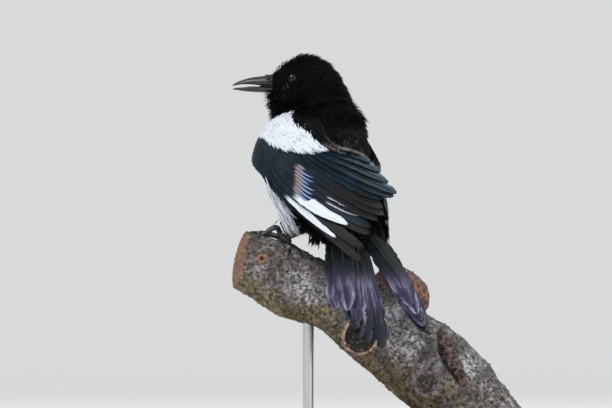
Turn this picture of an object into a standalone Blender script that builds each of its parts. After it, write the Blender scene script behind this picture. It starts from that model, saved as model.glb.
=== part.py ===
"""A still, life-size eurasian magpie that grips a cut branch, held up by a plain stand.

The world is in metres with +Z up and the origin under the middle of the stand's base.
Sizes below are millimetres and MM turns them into metres. The bird's own frame has its
origin in the middle of the trunk: ahead along the spine, left, and up out of the back.
"""

import math
import random

import bmesh
import bpy
from mathutils import Matrix, Vector

MM = 0.001
GAP = 0.3                     # clearance between pieces that touch
WING_SEED = 7

# The trunk stands askew on the branch: turned left, pitched up, rolled to its right.
TRUNK_MIDDLE = Vector((-36.0, 5.0, 197.3))
TRUNK_TURN = math.radians(34.0)
TRUNK_PITCH = math.radians(42.0)
TRUNK_ROLL = math.radians(20.0)

# Trunk sections from rump to breast: ahead, half width, height above and depth below.
TRUNK_SECTIONS = [
    (-56, 9, 8, 10), (-50, 13, 12, 15), (-38, 20, 21, 25), (-20, 28, 31, 36), (0, 33, 41, 41),
    (20, 34, 49, 41), (35, 31, 46, 36), (46, 24, 37, 28), (54, 14, 28, 16), (58, 5, 20, 4),
]
TRUNK_SIDES = 26

# The head points straight to -X. Sections: along X, crown height, throat height, half width.
HEAD_DEPTH = 32.0
HEAD_SECTIONS = [
    (-74.5, 270.4, 258.4, 6.0), (-71.0, 274.6, 252.4, 9.0), (-66.5, 278.8, 247.0, 12.0),
    (-61.0, 281.4, 242.5, 14.2), (-54.0, 285.2, 238.5, 16.0), (-45.5, 284.8, 235.5, 17.0),
    (-36.0, 280.8, 234.0, 17.0), (-28.0, 274.0, 235.0, 15.5), (-21.5, 264.4, 238.0, 12.5),
    (-17.0, 255.5, 242.5, 7.5),
]
HEAD_SIDES = 22
NECK_PATH = [(-40.0, 24.0, 226.0), (-44.0, 29.0, 240.0), (-46.0, 32.0, 254.0)]
NECK_RADII = [27.0, 28.5, 22.0]
NECK_FLATTEN = 0.84
HEAD_CUT = ((-46.0, 32.0, 246.5), (-0.10, 0.0, 1.0))
NECK_CUT = ((-43.0, 20.0, 239.5), (0.08, 0.10, 1.0))

EYE_PLACE = (-59.5, 267.8)    # along X and up
EYE_RADIUS = 4.4
EYE_REACH = 10.0              # from the head's middle plane to the eyeball's centre
LID_RADIUS = 3.9
LID_THICK = 0.9
LID_REACH = 2.4               # how far the lids stand out from the eyeball's centre
LID_STEPS = 14
LID_SIDES = 5

# Bill sections: along X, upper edge, lower edge, half width.
UPPER_BILL = [
    (-74.8, 270.2, 262.4, 5.2), (-81.0, 269.6, 262.6, 4.9), (-88.5, 268.6, 263.4, 4.2),
    (-95.5, 266.8, 263.5, 3.2), (-100.0, 264.9, 262.9, 2.0), (-102.8, 263.2, 262.3, 0.7),
]
LOWER_BILL = [
    (-74.8, 261.6, 257.9, 4.8), (-81.0, 261.8, 257.6, 4.5), (-88.5, 262.1, 258.0, 3.7),
    (-95.5, 261.4, 258.7, 2.6), (-100.0, 261.1, 259.5, 1.6), (-102.6, 260.5, 259.7, 0.6),
]
BILL_SIDES = 14
NOSTRIL_PLACE = (-79.5, 267.0)
NOSTRIL_SIZE = (1.5, 0.9, 0.8)
GAPE_LINE = ((-74.8, 262.0), (-67.5, 260.4))
GAPE_THICK = 0.8
GAPE_BACK_THICK = 0.5
GAPE_CORE = (14.0, 8.3, 6.0)  # flesh that the mouth's line doesn't reach
NOSTRIL_DEPTH = 4.5

# Wing surfaces in the bird's frame, one line for each ray from the leading edge up to the back.
# The places on a line are the wing's front edge, its bend, the feather roots, the middle and the tip.
LEFT_WING = [
    [(37, 30, -25), (24, 37, -25), (4, 40.5, -21), (-34, 39, -17), (-71, 34, -9)],
    [(45, 28, -16), (30, 38.5, -14), (2, 42.5, -12), (-48, 37.5, -8), (-101, 26, -1)],
    [(49, 26, -3), (32, 38, -3), (0, 42.5, -2), (-45, 36, 6), (-88, 22, 15)],
    [(46, 24, 10), (30, 35, 9), (-2, 39.5, 9), (-42, 30, 18), (-79, 12, 28)],
    [(40, 20, 21), (24, 29, 19), (-4, 33, 20), (-36, 20, 30), (-62, -1, 40)],
    [(30, 16, 30), (14, 24, 29), (-6, 26, 29), (-20, 9, 37), (-37, -4, 41)],
]
RIGHT_WING = [
    [(34, -27, -27), (24, -36, -26), (4, -39, -21), (-34, -36, -18), (-72, -27, -14)],
    [(45, -28, -16), (30, -38, -14), (2, -41.5, -12), (-46, -34, -10), (-98, -18, -9)],
    [(49, -26, -3), (32, -37.5, -3), (0, -41.5, -2), (-45, -31, 3), (-88, -14, 1)],
    [(46, -24, 10), (30, -34, 9), (-2, -38.5, 9), (-40, -26, 14), (-76, -11, 12)],
    [(40, -20, 21), (24, -29, 19), (-4, -32, 20), (-34, -19, 24), (-60, -10, 21)],
    [(30, -16, 30), (14, -24, 29), (-6, -25, 28), (-20, -14, 30), (-38, -10, 29)],
]
WING_THICK = 5.0
WING_EDGE_SHARE = 0.35        # of the thickness, at the wing's front edge
WING_ROWS = 8
WING_COLUMNS = 6
CORE_END = 0.62               # how far along the wing its closed core reaches
FLIGHT_COUNT = 14
FLIGHT_ROOT = 0.44
FLIGHT_ENDS = [0.97, 0.99, 1.0, 0.97, 0.94, 0.98, 1.0, 0.95, 0.97, 0.93, 0.97, 1.0, 0.95, 0.9]
FLIGHT_WIDTH = 13.0
FLIGHT_LIFT = -1.3
COVERT_COUNT = 8
COVERT_ROOT = 0.28
COVERT_END = 0.66
COVERT_WIDTH = 13.0
COVERT_LIFT = 1.35
VANE_THICK = 0.7
VANE_STEP = 1.1               # how much higher each feather lies than the one before it
VANE_OUTLINE = [(0.0, 0.55), (0.4, 0.88), (0.86, 0.95), (1.0, 0.2)]

# Tail halves: tips in the world, outermost feather first; the roots spread over the rump.
TAIL_ROOT = Vector((-14.0, -25.0, 163.0))
TAIL_ACROSS = Vector((0.97, -0.10, -0.22))
TAIL_UP = Vector((-0.05, -0.55, 0.83))
TAIL_ROOT_STEP = 2.0
TAIL_PARTING = 4.4            # from the tail's middle to the root of each central feather
LEFT_TIPS = [(-29, -112, 101), (-20, -128, 99.5), (-14, -134, 86),
             (-11, -137, 79), (-5, -139, 76), (5, -140, 73)]
RIGHT_TIPS = [(20, -110, 106), (26, -122, 103), (30, -129, 97),
              (33, -134, 92), (35, -137, 88), (37.5, -139, 84)]
TAIL_DROP = 0.9               # how much lower each outer feather starts than the one inside it
TAIL_FEATHER_WIDTH = 15.0
TAIL_THICK = 0.8
TAIL_ROOF = 0.9
TAIL_OUTLINE = [(0.0, 0.34), (0.2, 0.6), (0.6, 0.92), (0.88, 1.0), (0.96, 0.74), (1.0, 0.2)]
TAIL_KNUCKLE = [2.6, 2.8]      # radii of the flesh that joins a half's roots
TAIL_COVERT_LENGTH = 34.0
TAIL_COVERT_SECTIONS = [(-0.5, 13.0, 11.0), (0.0, 13.5, 9.5), (0.4, 12.0, 6.5),
                        (0.8, 8.5, 3.6), (1.0, 5.0, 1.8)]

# Branch: centre line from the cut end to the sawn foot, with its radii.
PERCH_LINE = [
    (-101, 5, 138.6), (-80, 5, 130.5), (-61, 5, 120), (-40, 5, 112), (-20, 4, 101.5), (1, 4, 88),
    (20, 5, 74.6), (46, 6, 54), (65, 7, 32), (86, 8, 7), (102, 8, -16),
]
PERCH_RADII = [20.3, 23.5, 26.3, 23.8, 24.5, 28, 30.5, 32.5, 31, 30, 30]
PERCH_SIDES = 20
PERCH_STATIONS = 26
PERCH_FOOT = 24.5
PERCH_SWELLS = [(0.6, 3, 9), (0.5, 5, -31)]     # height, waves round the branch, turn along it
CUT_PLACE = (-97.5, 5, 138.6)
CUT_FACING = (-0.96, -0.17, 0.22)
CUT_SPARE = 9.0               # wood past the first ring, that the saw takes off
STUB_LINE = [(2, 12, 92), (13, 7, 106), (22, 3, 117), (28, 1, 125)]
STUB_RADII = [23, 23, 22, 12]
STUB_RINGS = 7
STUB_SIDES = 20
KNOT_HOLE = ((-11.0, -18.5, 81.5), 11.0, 9.0)
KNOT_HOLE_SHIFT = Vector((0.0, -6.5, 0.0))
KNOT_TALLER = 1.5
KNOT_COLLAR = 2.6
KNOT_COLLAR_DEPTH = 6.3
RING_KNOT = ((37.0, -22.5, 48.5), 10.5, 4.0)

# Legs: hip and heel in the bird's frame, then the foot's station near the branch and its turn from the top.
LEFT_LEG = ((-14, 16, -27), (-43, 19, -16), (-77.0, 5.0, 129.0), 12.0)
RIGHT_LEG = ((-14, -15, -27), (-40, -12, -24), (-36.0, 5.0, 110.0), -20.0)
FOOT_LIFT = 3.4
THIGH_RADII = (12.5, 11.0, 4.2)
TARSUS_RADIUS = 2.05
HEEL_SWELL = 0.5
ANKLE_RADIUS = 3.1
ANKLE_CUT = 2.0
TOE_RADIUS = 1.95
TOE_ROOT_SWELL = 0.3
TOE_TIP_TAPER = 0.35
CLAW_TIP_LIFT = 0.7
CLAW_START = GAP + 0.1
CLAW_RADII = [1.35, 1.2, 1.0, 0.4]
# Toes as steps along the branch and round it: (along, round in degrees, lift) from the foot.
LEFT_TOES = [
    [(-3, 2, 2.4), (-6, 5, 7.4), (-9, 8, 7.6), (-12, 10, 3.2)],
    [(-5, -8, 1.8), (-11, -10, 2.3), (-17, -10, 1.7)],
    [(-2, -24, 1.9), (-5, -42, 2.2), (-7, -58, 1.8)],
    [(3, 12, 2.2), (6, 24, 2.4), (7, 36, 1.8)],
]
RIGHT_TOES = [
    [(-5, -10, 1.9), (-10, -22, 2.2), (-14, -36, 1.8)],
    [(0, -16, 2.0), (0, -34, 2.2), (0, -52, 1.8)],
    [(5, -12, 1.9), (9, -28, 2.2), (11, -44, 1.8)],
    [(0, 14, 2.2), (1, 26, 2.4), (1, 38, 1.8)],
]
LEFT_CLAWS = [(-6, 3, -2.2), (-7, 0, -0.5), (-2, -20, -1.0), (1, 19, -0.5)]
RIGHT_CLAWS = [(-4, -16, -1.0), (0, -20, -1.0), (3, -18, -1.0), (1, 19, -0.5)]

# Stand
BASE_SIZE = (186.0, 132.0, 12.0)
BASE_CORNER = 16.0
BASE_EDGE = 1.6
ROD_RADIUS = 4.0
TALL_ROD_TOP = 105.0
FRONT_ROD = (-48.0, 4.0)
BACK_ROD = (72.0, 7.0)
ROD_SIDES = 20

COLOURS = {
    "plumage_black": ((0.012, 0.012, 0.015), 0.6, 0.0),
    "plumage_blue": ((0.015, 0.05, 0.09), 0.35, 0.3),
    "tail_bronze": ((0.02, 0.035, 0.04), 0.35, 0.3),
    "horn": ((0.03, 0.033, 0.04), 0.35, 0.0),
    "eye": ((0.02, 0.022, 0.03), 0.08, 0.0),
    "leg": ((0.025, 0.026, 0.03), 0.45, 0.0),
    "bark": ((0.22, 0.19, 0.15), 0.9, 0.0),
    "stand_wood": ((0.45, 0.32, 0.2), 0.5, 0.0),
    "stand_steel": ((0.55, 0.55, 0.56), 0.3, 1.0),
}


def trunk_axes():
    """Unit vectors of the bird's frame in the world: ahead, left and up."""
    ahead = Vector((-math.sin(TRUNK_TURN) * math.cos(TRUNK_PITCH),
                    math.cos(TRUNK_TURN) * math.cos(TRUNK_PITCH), math.sin(TRUNK_PITCH)))
    level_right = Vector((math.cos(TRUNK_TURN), math.sin(TRUNK_TURN), 0.0))
    level_up = level_right.cross(ahead)
    up = level_up * math.cos(TRUNK_ROLL) + level_right * math.sin(TRUNK_ROLL)
    right = level_right * math.cos(TRUNK_ROLL) - level_up * math.sin(TRUNK_ROLL)
    return ahead, -right, up


AHEAD, LEFT, UP = trunk_axes()


def bird(ahead, left, up):
    """World point of a place in the bird's frame."""
    return TRUNK_MIDDLE + AHEAD * ahead + LEFT * left + UP * up


def material(name):
    """The named Principled material, made on first use."""
    if name in bpy.data.materials:
        return bpy.data.materials[name]
    colour, roughness, metallic = COLOURS[name]
    made = bpy.data.materials.new(name)
    made.use_nodes = True
    shader = made.node_tree.nodes["Principled BSDF"]
    shader.inputs["Base Color"].default_value = (*colour, 1.0)
    shader.inputs["Roughness"].default_value = roughness
    shader.inputs["Metallic"].default_value = metallic
    made.diffuse_color = (*colour, 1.0)
    return made


def clear_scene():
    """Take away every object of the scene."""
    for thing in list(bpy.data.objects):
        bpy.data.objects.remove(thing, do_unlink=True)


def new_object(name, mesh, material_name=None):
    """Link a mesh into the scene under a name."""
    thing = bpy.data.objects.new(name, mesh)
    bpy.context.scene.collection.objects.link(thing)
    if material_name:
        mesh.materials.clear()
        mesh.materials.append(material(material_name))
    return thing


def mesh_from(points, faces, name):
    """Mesh of points in millimetres with its faces turned outward."""
    mesh = bpy.data.meshes.new(name)
    mesh.from_pydata([Vector(point) * MM for point in points], [], faces)
    shape = bmesh.new()
    shape.from_mesh(mesh)
    bmesh.ops.recalc_face_normals(shape, faces=shape.faces)
    shape.to_mesh(mesh)
    shape.free()
    return mesh


def loft(rings, name):
    """Closed skin over rings of equal count, with a fan on each end."""
    sides = len(rings[0])
    points = [point for ring in rings for point in ring]
    faces = []
    for row in range(len(rings) - 1):
        for side in range(sides):
            after = (side + 1) % sides
            low, high = row * sides, (row + 1) * sides
            faces.append((low + side, low + after, high + after, high + side))
    for ring_index in (0, len(rings) - 1):
        ring = rings[ring_index]
        middle = sum((Vector(point) for point in ring), Vector()) / sides
        points.append(middle)
        start = ring_index * sides
        for side in range(sides):
            faces.append((start + side, start + (side + 1) % sides, len(points) - 1))
    return mesh_from(points, faces, name)


def curve_at(points, place):
    """Smooth curve through points, read at a place from 0 to 1."""
    spans = len(points) - 1
    span = min(int(place * spans), spans - 1)
    local = place * spans - span
    before = Vector(points[max(span - 1, 0)])
    start, end = Vector(points[span]), Vector(points[span + 1])
    after = Vector(points[min(span + 2, spans)])
    return 0.5 * (2 * start + (end - before) * local
                  + (2 * before - 5 * start + 4 * end - after) * local ** 2
                  + (3 * start - before - 3 * end + after) * local ** 3)


def value_at(values, place):
    """Smooth curve through plain numbers."""
    return curve_at([Vector((value, 0.0, 0.0)) for value in values], place).x


def section_ring(centre, across, upward, half_width, top, bottom, sides, square=2.0):
    """Ring of an egg-like section: two half ellipses that share their width."""
    ring = []
    for side in range(sides):
        turn = math.tau * (side + 0.5) / sides
        flat, tall = math.cos(turn), math.sin(turn)
        reach = (abs(flat) ** square + abs(tall) ** square) ** (-1.0 / square)
        height = (top if tall > 0 else bottom) * tall * reach
        ring.append(centre + across * (half_width * flat * reach) + upward * height)
    return ring


def tube_mesh(path, radii, sides, name, stations=None, flatten=1.0):
    """Tube along a smooth path with smoothly varying radius; flatten squashes it in depth."""
    stations = stations or 2 * len(path)
    rings = []
    for index in range(stations):
        place = index / (stations - 1)
        centre = curve_at(path, place)
        step = 0.02
        ahead = curve_at(path, min(place + step, 1.0))
        behind = curve_at(path, max(place - step, 0.0))
        along = (ahead - behind).normalized()
        across = along.cross(Vector((0.0, 1.0, 0.001))).normalized()
        depth = along.cross(across)
        radius = value_at(radii, place)
        ring = []
        for side in range(sides):
            turn = math.tau * side / sides
            ring.append(centre + across * (radius * math.cos(turn))
                        + depth * (radius * flatten * math.sin(turn)))
        rings.append(ring)
    return loft(rings, name)


def evaluated_mesh(thing):
    """Plain mesh of an object with its modifiers worked in."""
    graph = bpy.context.evaluated_depsgraph_get()
    return bpy.data.meshes.new_from_object(thing.evaluated_get(graph))


def boolean(target, cutter, operation="DIFFERENCE", keep_cutter=False):
    """Join or cut two closed objects and work the result into the first."""
    modifier = target.modifiers.new("shape", "BOOLEAN")
    modifier.operation = operation
    modifier.solver = "EXACT"
    modifier.object = cutter
    old = target.data
    target.data = evaluated_mesh(target)
    target.modifiers.clear()
    bpy.data.meshes.remove(old)
    if not keep_cutter:
        bpy.data.objects.remove(cutter, do_unlink=True)
    return target


def keep_largest(thing):
    """Keep the largest closed surface and drop loose crumbs."""
    shape = bmesh.new()
    shape.from_mesh(thing.data)
    waiting = set(shape.verts)
    groups = []
    while waiting:
        group = {waiting.pop()}
        front = list(group)
        while front:
            vertex = front.pop()
            for edge in vertex.link_edges:
                other = edge.other_vert(vertex)
                if other in waiting:
                    waiting.remove(other)
                    group.add(other)
                    front.append(other)
        groups.append(group)
    groups.sort(key=lambda group: sum(face.calc_area() for vertex in group for face in vertex.link_faces))
    crumbs = [vertex for group in groups[:-1] for vertex in group]
    bmesh.ops.delete(shape, geom=crumbs, context="VERTS")
    shape.to_mesh(thing.data)
    shape.free()
    return thing


def cut_away(thing, place, normal):
    """Cut an object with a plane, drop the side that the normal points to, and close the cut."""
    shape = bmesh.new()
    shape.from_mesh(thing.data)
    everything = list(shape.verts) + list(shape.edges) + list(shape.faces)
    cut = bmesh.ops.bisect_plane(shape, geom=everything, plane_co=Vector(place) * MM,
                                 plane_no=Vector(normal).normalized(), clear_outer=True)
    rim = [item for item in cut["geom_cut"] if isinstance(item, bmesh.types.BMEdge)]
    bmesh.ops.triangle_fill(shape, use_beauty=True, edges=rim)
    bmesh.ops.recalc_face_normals(shape, faces=shape.faces)
    shape.to_mesh(thing.data)
    shape.free()
    return thing


def copy_of(thing, name):
    """Independent copy of an object and its mesh."""
    return new_object(name, thing.data.copy())


def trunk_mesh(grow, name):
    """Trunk in sections from the rump to the breast, grown evenly by a margin."""
    rings = []
    for ahead, half_width, top, bottom in TRUNK_SECTIONS:
        rings.append(section_ring(bird(ahead, 0, 0), LEFT, UP, half_width + grow, top + grow,
                                  bottom + grow, TRUNK_SIDES))
    rings[0] = [point - AHEAD * grow for point in rings[0]]
    rings[-1] = [point + AHEAD * grow for point in rings[-1]]
    return loft(rings, name)


def tail_covert_mesh(grow, name):
    """Short coverts above and below the tail's root, tapering along the tail."""
    along = (Vector(LEFT_TIPS[-1]) + Vector(RIGHT_TIPS[-1])) / 2 - TAIL_ROOT
    along.normalize()
    across = TAIL_ACROSS.normalized()
    upward = across.cross(along).normalized()
    upward = upward if upward.z > 0 else -upward
    rings = []
    for place, half_width, half_height in TAIL_COVERT_SECTIONS:
        centre = TAIL_ROOT + along * (place * TAIL_COVERT_LENGTH)
        rings.append(section_ring(centre, across, upward, half_width + grow, half_height + grow,
                                  half_height + grow, 16, 2.3))
    rings[-1] = [point + along * grow for point in rings[-1]]
    return loft(rings, name)


def neck_mesh(grow, name):
    """Thick, fluffed neck between the trunk and the head."""
    radii = [radius + grow for radius in NECK_RADII]
    return tube_mesh(NECK_PATH, radii, TRUNK_SIDES, name, 7, NECK_FLATTEN)


def head_mesh(grow, name):
    """Head in upright sections from the bill's root to the nape."""
    rings = []
    for along, crown, throat, half_width in HEAD_SECTIONS:
        middle = (crown + throat) / 2
        height = (crown - throat) / 2 + grow
        rings.append(section_ring(Vector((along, HEAD_DEPTH, middle)), Vector((0, -1, 0)), Vector((0, 0, 1)),
                                  half_width + grow, height, height, HEAD_SIDES, 2.1))
    return loft(rings, name)


def flesh(grow, name):
    """Trunk, neck and head as one closed body."""
    whole = new_object(name, trunk_mesh(grow, name))
    boolean(whole, new_object("neck_form", neck_mesh(grow, "neck_form")), "UNION")
    boolean(whole, new_object("head_form", head_mesh(grow, "head_form")), "UNION")
    boolean(whole, new_object("covert_form", tail_covert_mesh(grow, "covert_form")), "UNION")
    return keep_largest(whole)


def ball(centre, radii, name, across=16, rings=10):
    """Ellipsoid in millimetres."""
    shape = bmesh.new()
    bmesh.ops.create_uvsphere(shape, u_segments=across, v_segments=rings, radius=1.0)
    stretch = Matrix.Diagonal((*[radius * MM for radius in radii], 1.0))
    place = Matrix.Translation(Vector(centre) * MM) @ stretch
    shape.transform(place)
    mesh = bpy.data.meshes.new(name)
    shape.to_mesh(mesh)
    shape.free()
    return new_object(name, mesh)


def lid_ring(side, name):
    """Raised ring of skin round one eye; side is -1 for the left eye and 1 for the right."""
    centre = Vector((EYE_PLACE[0], HEAD_DEPTH + side * (EYE_REACH + LID_REACH), EYE_PLACE[1]))
    points, faces = [], []
    for step in range(LID_STEPS):
        turn = math.tau * step / LID_STEPS
        outward = Vector((math.cos(turn), 0.0, math.sin(turn)))
        for corner in range(LID_SIDES):
            roll = math.tau * corner / LID_SIDES
            points.append(centre + outward * (LID_RADIUS + LID_THICK * math.cos(roll))
                          + Vector((0.0, 1.4 * LID_THICK * math.sin(roll), 0.0)))
    for step in range(LID_STEPS):
        for corner in range(LID_SIDES):
            here, after = step * LID_SIDES, (step + 1) % LID_STEPS * LID_SIDES
            turned = (corner + 1) % LID_SIDES
            faces.append((here + corner, here + turned, after + turned, after + corner))
    return new_object(name, mesh_from(points, faces, name))


def make_head_and_trunk():
    """Part the flesh into head, neck and torso, and give the head its lids and gape."""
    whole = flesh(0.0, "flesh")
    head = copy_of(whole, "head")
    neck = copy_of(whole, "neck")
    torso = whole
    torso.name = "torso"
    head_place, head_normal = Vector(HEAD_CUT[0]), Vector(HEAD_CUT[1]).normalized()
    neck_place, neck_normal = Vector(NECK_CUT[0]), Vector(NECK_CUT[1]).normalized()
    half = GAP / 2
    cut_away(head, head_place + head_normal * half, -head_normal)
    cut_away(neck, head_place - head_normal * half, head_normal)
    cut_away(neck, neck_place + neck_normal * half, -neck_normal)
    cut_away(torso, neck_place - neck_normal * half, neck_normal)
    for side in (-1, 1):
        boolean(head, lid_ring(side, "lid"), "UNION")
    for side in (-1, 1):
        centre = (EYE_PLACE[0], HEAD_DEPTH + side * EYE_REACH, EYE_PLACE[1])
        boolean(head, ball(centre, [EYE_RADIUS + GAP] * 3, "socket", 14, 8))
    boolean(head, gape_cutter(), "DIFFERENCE")
    for thing in (head, neck, torso):
        keep_largest(thing)
        thing.data.materials.clear()
        thing.data.materials.append(material("plumage_black"))


def gape_cutter():
    """Thin wedge that carries the line of the mouth back into the cheeks."""
    (front, front_height), (back, back_height) = GAPE_LINE
    half, back_half = GAPE_THICK / 2, GAPE_BACK_THICK / 2
    points = []
    for depth in (HEAD_DEPTH - 20.0, HEAD_DEPTH + 20.0):
        points += [(front - 1.0, depth, front_height - half), (front - 1.0, depth, front_height + half),
                   (back, depth, back_height + back_half), (back, depth, back_height - back_half)]
    faces = [(0, 1, 2, 3), (4, 5, 6, 7), (0, 1, 5, 4), (1, 2, 6, 5), (2, 3, 7, 6), (3, 0, 4, 7)]
    cutter = new_object("gape", mesh_from(points, faces, "gape"))
    inner = ball((back - 1.0, HEAD_DEPTH, back_height), GAPE_CORE, "gape_core")
    return boolean(cutter, inner, "DIFFERENCE")


def make_eyes():
    """Two eyeballs sunk in their sockets."""
    for side, name in ((-1, "eye_left"), (1, "eye_right")):
        centre = (EYE_PLACE[0], HEAD_DEPTH + side * EYE_REACH, EYE_PLACE[1])
        eye = ball(centre, [EYE_RADIUS] * 3, name, 14, 8)
        eye.data.materials.append(material("eye"))


def bill_half(sections, name, roof):
    """One half of the bill: round outside, nearly flat where the halves meet."""
    rings = []
    for along, top, bottom, half_width in sections:
        height = top - bottom
        base = bottom + height * (0.25 if roof else 0.75)
        rings.append(section_ring(Vector((along, HEAD_DEPTH, base)), Vector((0, -1, 0)), Vector((0, 0, 1)),
                                  half_width, top - base, base - bottom, BILL_SIDES, 2.2))
    return new_object(name, loft(rings, name), "horn")


def make_bill():
    """Upper half with nostrils, and lower half a little open."""
    upper = bill_half(UPPER_BILL, "bill_upper", True)
    bill_half(LOWER_BILL, "bill_lower", False)
    for side in (-1, 1):
        centre = (NOSTRIL_PLACE[0], HEAD_DEPTH + side * NOSTRIL_DEPTH, NOSTRIL_PLACE[1])
        boolean(upper, ball(centre, NOSTRIL_SIZE, "nostril", 10, 6))


def wing_point(rows, row, column):
    """World point on a wing's surface; row runs 0 to 1 up to the back, column 0 to 1 to the tips."""
    keys = [curve_at([line[index] for line in rows], row) for index in range(len(rows[0]))]
    return bird(*curve_at(keys, column))


def wing_normal(rows, row, column):
    """Outward unit normal of a wing's surface."""
    step = 0.03
    over = wing_point(rows, min(row + step, 1.0), column) - wing_point(rows, max(row - step, 0.0), column)
    back = wing_point(rows, row, min(column + step, 1.0)) - wing_point(rows, row, max(column - step, 0.0))
    normal = over.cross(back).normalized()
    outward = LEFT if bird_left(wing_point(rows, 0.4, column)) > 0 else -LEFT
    return normal if normal.dot(outward + UP * 0.8) > 0 else -normal


def bird_left(point):
    """How far a world point lies to the left of the trunk's middle plane."""
    return (point - TRUNK_MIDDLE).dot(LEFT)


def wing_core(rows, name):
    """Closed body under the coverts, from the bend to where the flight feathers come free."""
    outer, inner = [], []
    for row_index in range(WING_ROWS):
        row = row_index / (WING_ROWS - 1)
        outer_line, inner_line = [], []
        for column_index in range(WING_COLUMNS):
            share = column_index / (WING_COLUMNS - 1)
            column = share * CORE_END
            point = wing_point(rows, row, column)
            normal = wing_normal(rows, row, column)
            outer_line.append(point)
            depth = WING_THICK * min(1.0, WING_EDGE_SHARE + 3.0 * share) * (1.0 - 0.7 * share ** 2)
            inner_line.append(point - normal * depth)
        outer.append(outer_line)
        inner.append(inner_line)
    return blanket_mesh(outer, inner, name)


def blanket_mesh(outer, inner, name):
    """Closed body between two grids of equal size, split into triangles alike on both faces."""
    rows, columns = len(outer), len(outer[0])
    points = [point for line in outer for point in line] + [point for line in inner for point in line]
    under = rows * columns

    def at(row, column, face):
        return face * under + row * columns + column

    faces = []
    for row in range(rows - 1):
        for column in range(columns - 1):
            for face in (0, 1):
                near, far = at(row, column, face), at(row + 1, column + 1, face)
                faces.append((near, at(row + 1, column, face), far))
                faces.append((near, far, at(row, column + 1, face)))
    for row in range(rows - 1):
        for column in (0, columns - 1):
            low, high = at(row, column, 0), at(row, column, 1)
            faces.append((low, at(row + 1, column, 0), at(row + 1, column, 1), high))
    for column in range(columns - 1):
        for row in (0, rows - 1):
            low, high = at(row, column, 0), at(row, column, 1)
            faces.append((low, at(row, column + 1, 0), at(row, column + 1, 1), high))
    return mesh_from(points, faces, name)


def wing_vane(rows, row, pitch_rows, root, end, width, lift, name):
    """One thin feather on the wing's surface, tilted so that the next one lies over it."""
    outer, inner = [], []
    for share, breadth in VANE_OUTLINE:
        column = root + (end - root) * share
        point = wing_point(rows, row, column)
        normal = wing_normal(rows, row, column)
        over = wing_point(rows, min(row + 0.03, 1.0), column) - wing_point(rows, max(row - 0.03, 0.0), column)
        across = (over - normal * over.dot(normal)).normalized()
        pitch = over.length / (min(row + 0.03, 1.0) - max(row - 0.03, 0.0)) * pitch_rows
        slope = VANE_STEP / max(pitch, 2.5)
        base = point + normal * lift
        top = []
        for side in (-1.0, -0.25, 1.0):
            reach = side * breadth * width / 2
            crown = VANE_THICK * 0.5 if side == -0.25 else 0.0
            top.append(base + across * reach - normal * (reach * slope) + normal * crown)
        outer.append(top)
        inner.append([spot - normal * VANE_THICK for spot in top])
    return blanket_mesh(outer, inner, name)


def union_all(target, meshes):
    """Join many closed meshes into one body with a single union."""
    group = bpy.data.collections.new("vanes")
    bpy.context.scene.collection.children.link(group)
    for mesh in meshes:
        group.objects.link(bpy.data.objects.new("vane", mesh))
    modifier = target.modifiers.new("vanes", "BOOLEAN")
    modifier.operation = "UNION"
    modifier.solver = "EXACT"
    modifier.operand_type = "COLLECTION"
    modifier.collection = group
    target.data = evaluated_mesh(target)
    target.modifiers.clear()
    for thing in list(group.objects):
        bpy.data.objects.remove(thing, do_unlink=True)
    bpy.data.collections.remove(group)
    return keep_largest(target)


def make_wings():
    """Both wings: a core with flight feathers and a tier of coverts, laid on the trunk."""
    dice = random.Random(WING_SEED)
    for rows, name in ((LEFT_WING, "wing_left"), (RIGHT_WING, "wing_right")):
        wing = new_object(name, wing_core(rows, name))
        vanes = []
        for index in range(FLIGHT_COUNT):
            row = (index + 0.4) / FLIGHT_COUNT
            end = FLIGHT_ENDS[index] - dice.uniform(0.0, 0.012)
            vane = wing_vane(rows, row, 1.0 / FLIGHT_COUNT, FLIGHT_ROOT, end,
                             FLIGHT_WIDTH, FLIGHT_LIFT, "flight")
            vanes.append(vane)
        for index in range(COVERT_COUNT):
            row = (index + 0.65) / COVERT_COUNT
            end = COVERT_END + dice.uniform(-0.02, 0.02)
            vane = wing_vane(rows, row, 1.0 / COVERT_COUNT, COVERT_ROOT, end,
                             COVERT_WIDTH, COVERT_LIFT, "covert")
            vanes.append(vane)
        union_all(wing, vanes)
        boolean(wing, new_object("trunk_cutter", trunk_mesh(GAP, "trunk_cutter")))
        boolean(wing, new_object("neck_cutter", neck_mesh(GAP, "neck_cutter")))
        keep_largest(wing)
        wing.data.materials.clear()
        wing.data.materials.append(material("plumage_blue"))


def tail_vane(root, tip, name):
    """One long tail feather: thin, a little roofed along its shaft, round at the tip."""
    along = (tip - root).normalized()
    across = along.cross(TAIL_UP).normalized()
    normal = across.cross(along)
    outer, inner = [], []
    for place, share in TAIL_OUTLINE:
        centre = root.lerp(tip, place)
        half = TAIL_FEATHER_WIDTH * share / 2
        top = []
        for side in (-1.0, 0.0, 1.0):
            rise = TAIL_ROOF * (1.0 - abs(side)) * share
            top.append(centre + across * (half * side) + normal * rise)
        outer.append(top)
        inner.append([spot - normal * TAIL_THICK for spot in top])
    return blanket_mesh(outer, inner, name)


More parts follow.
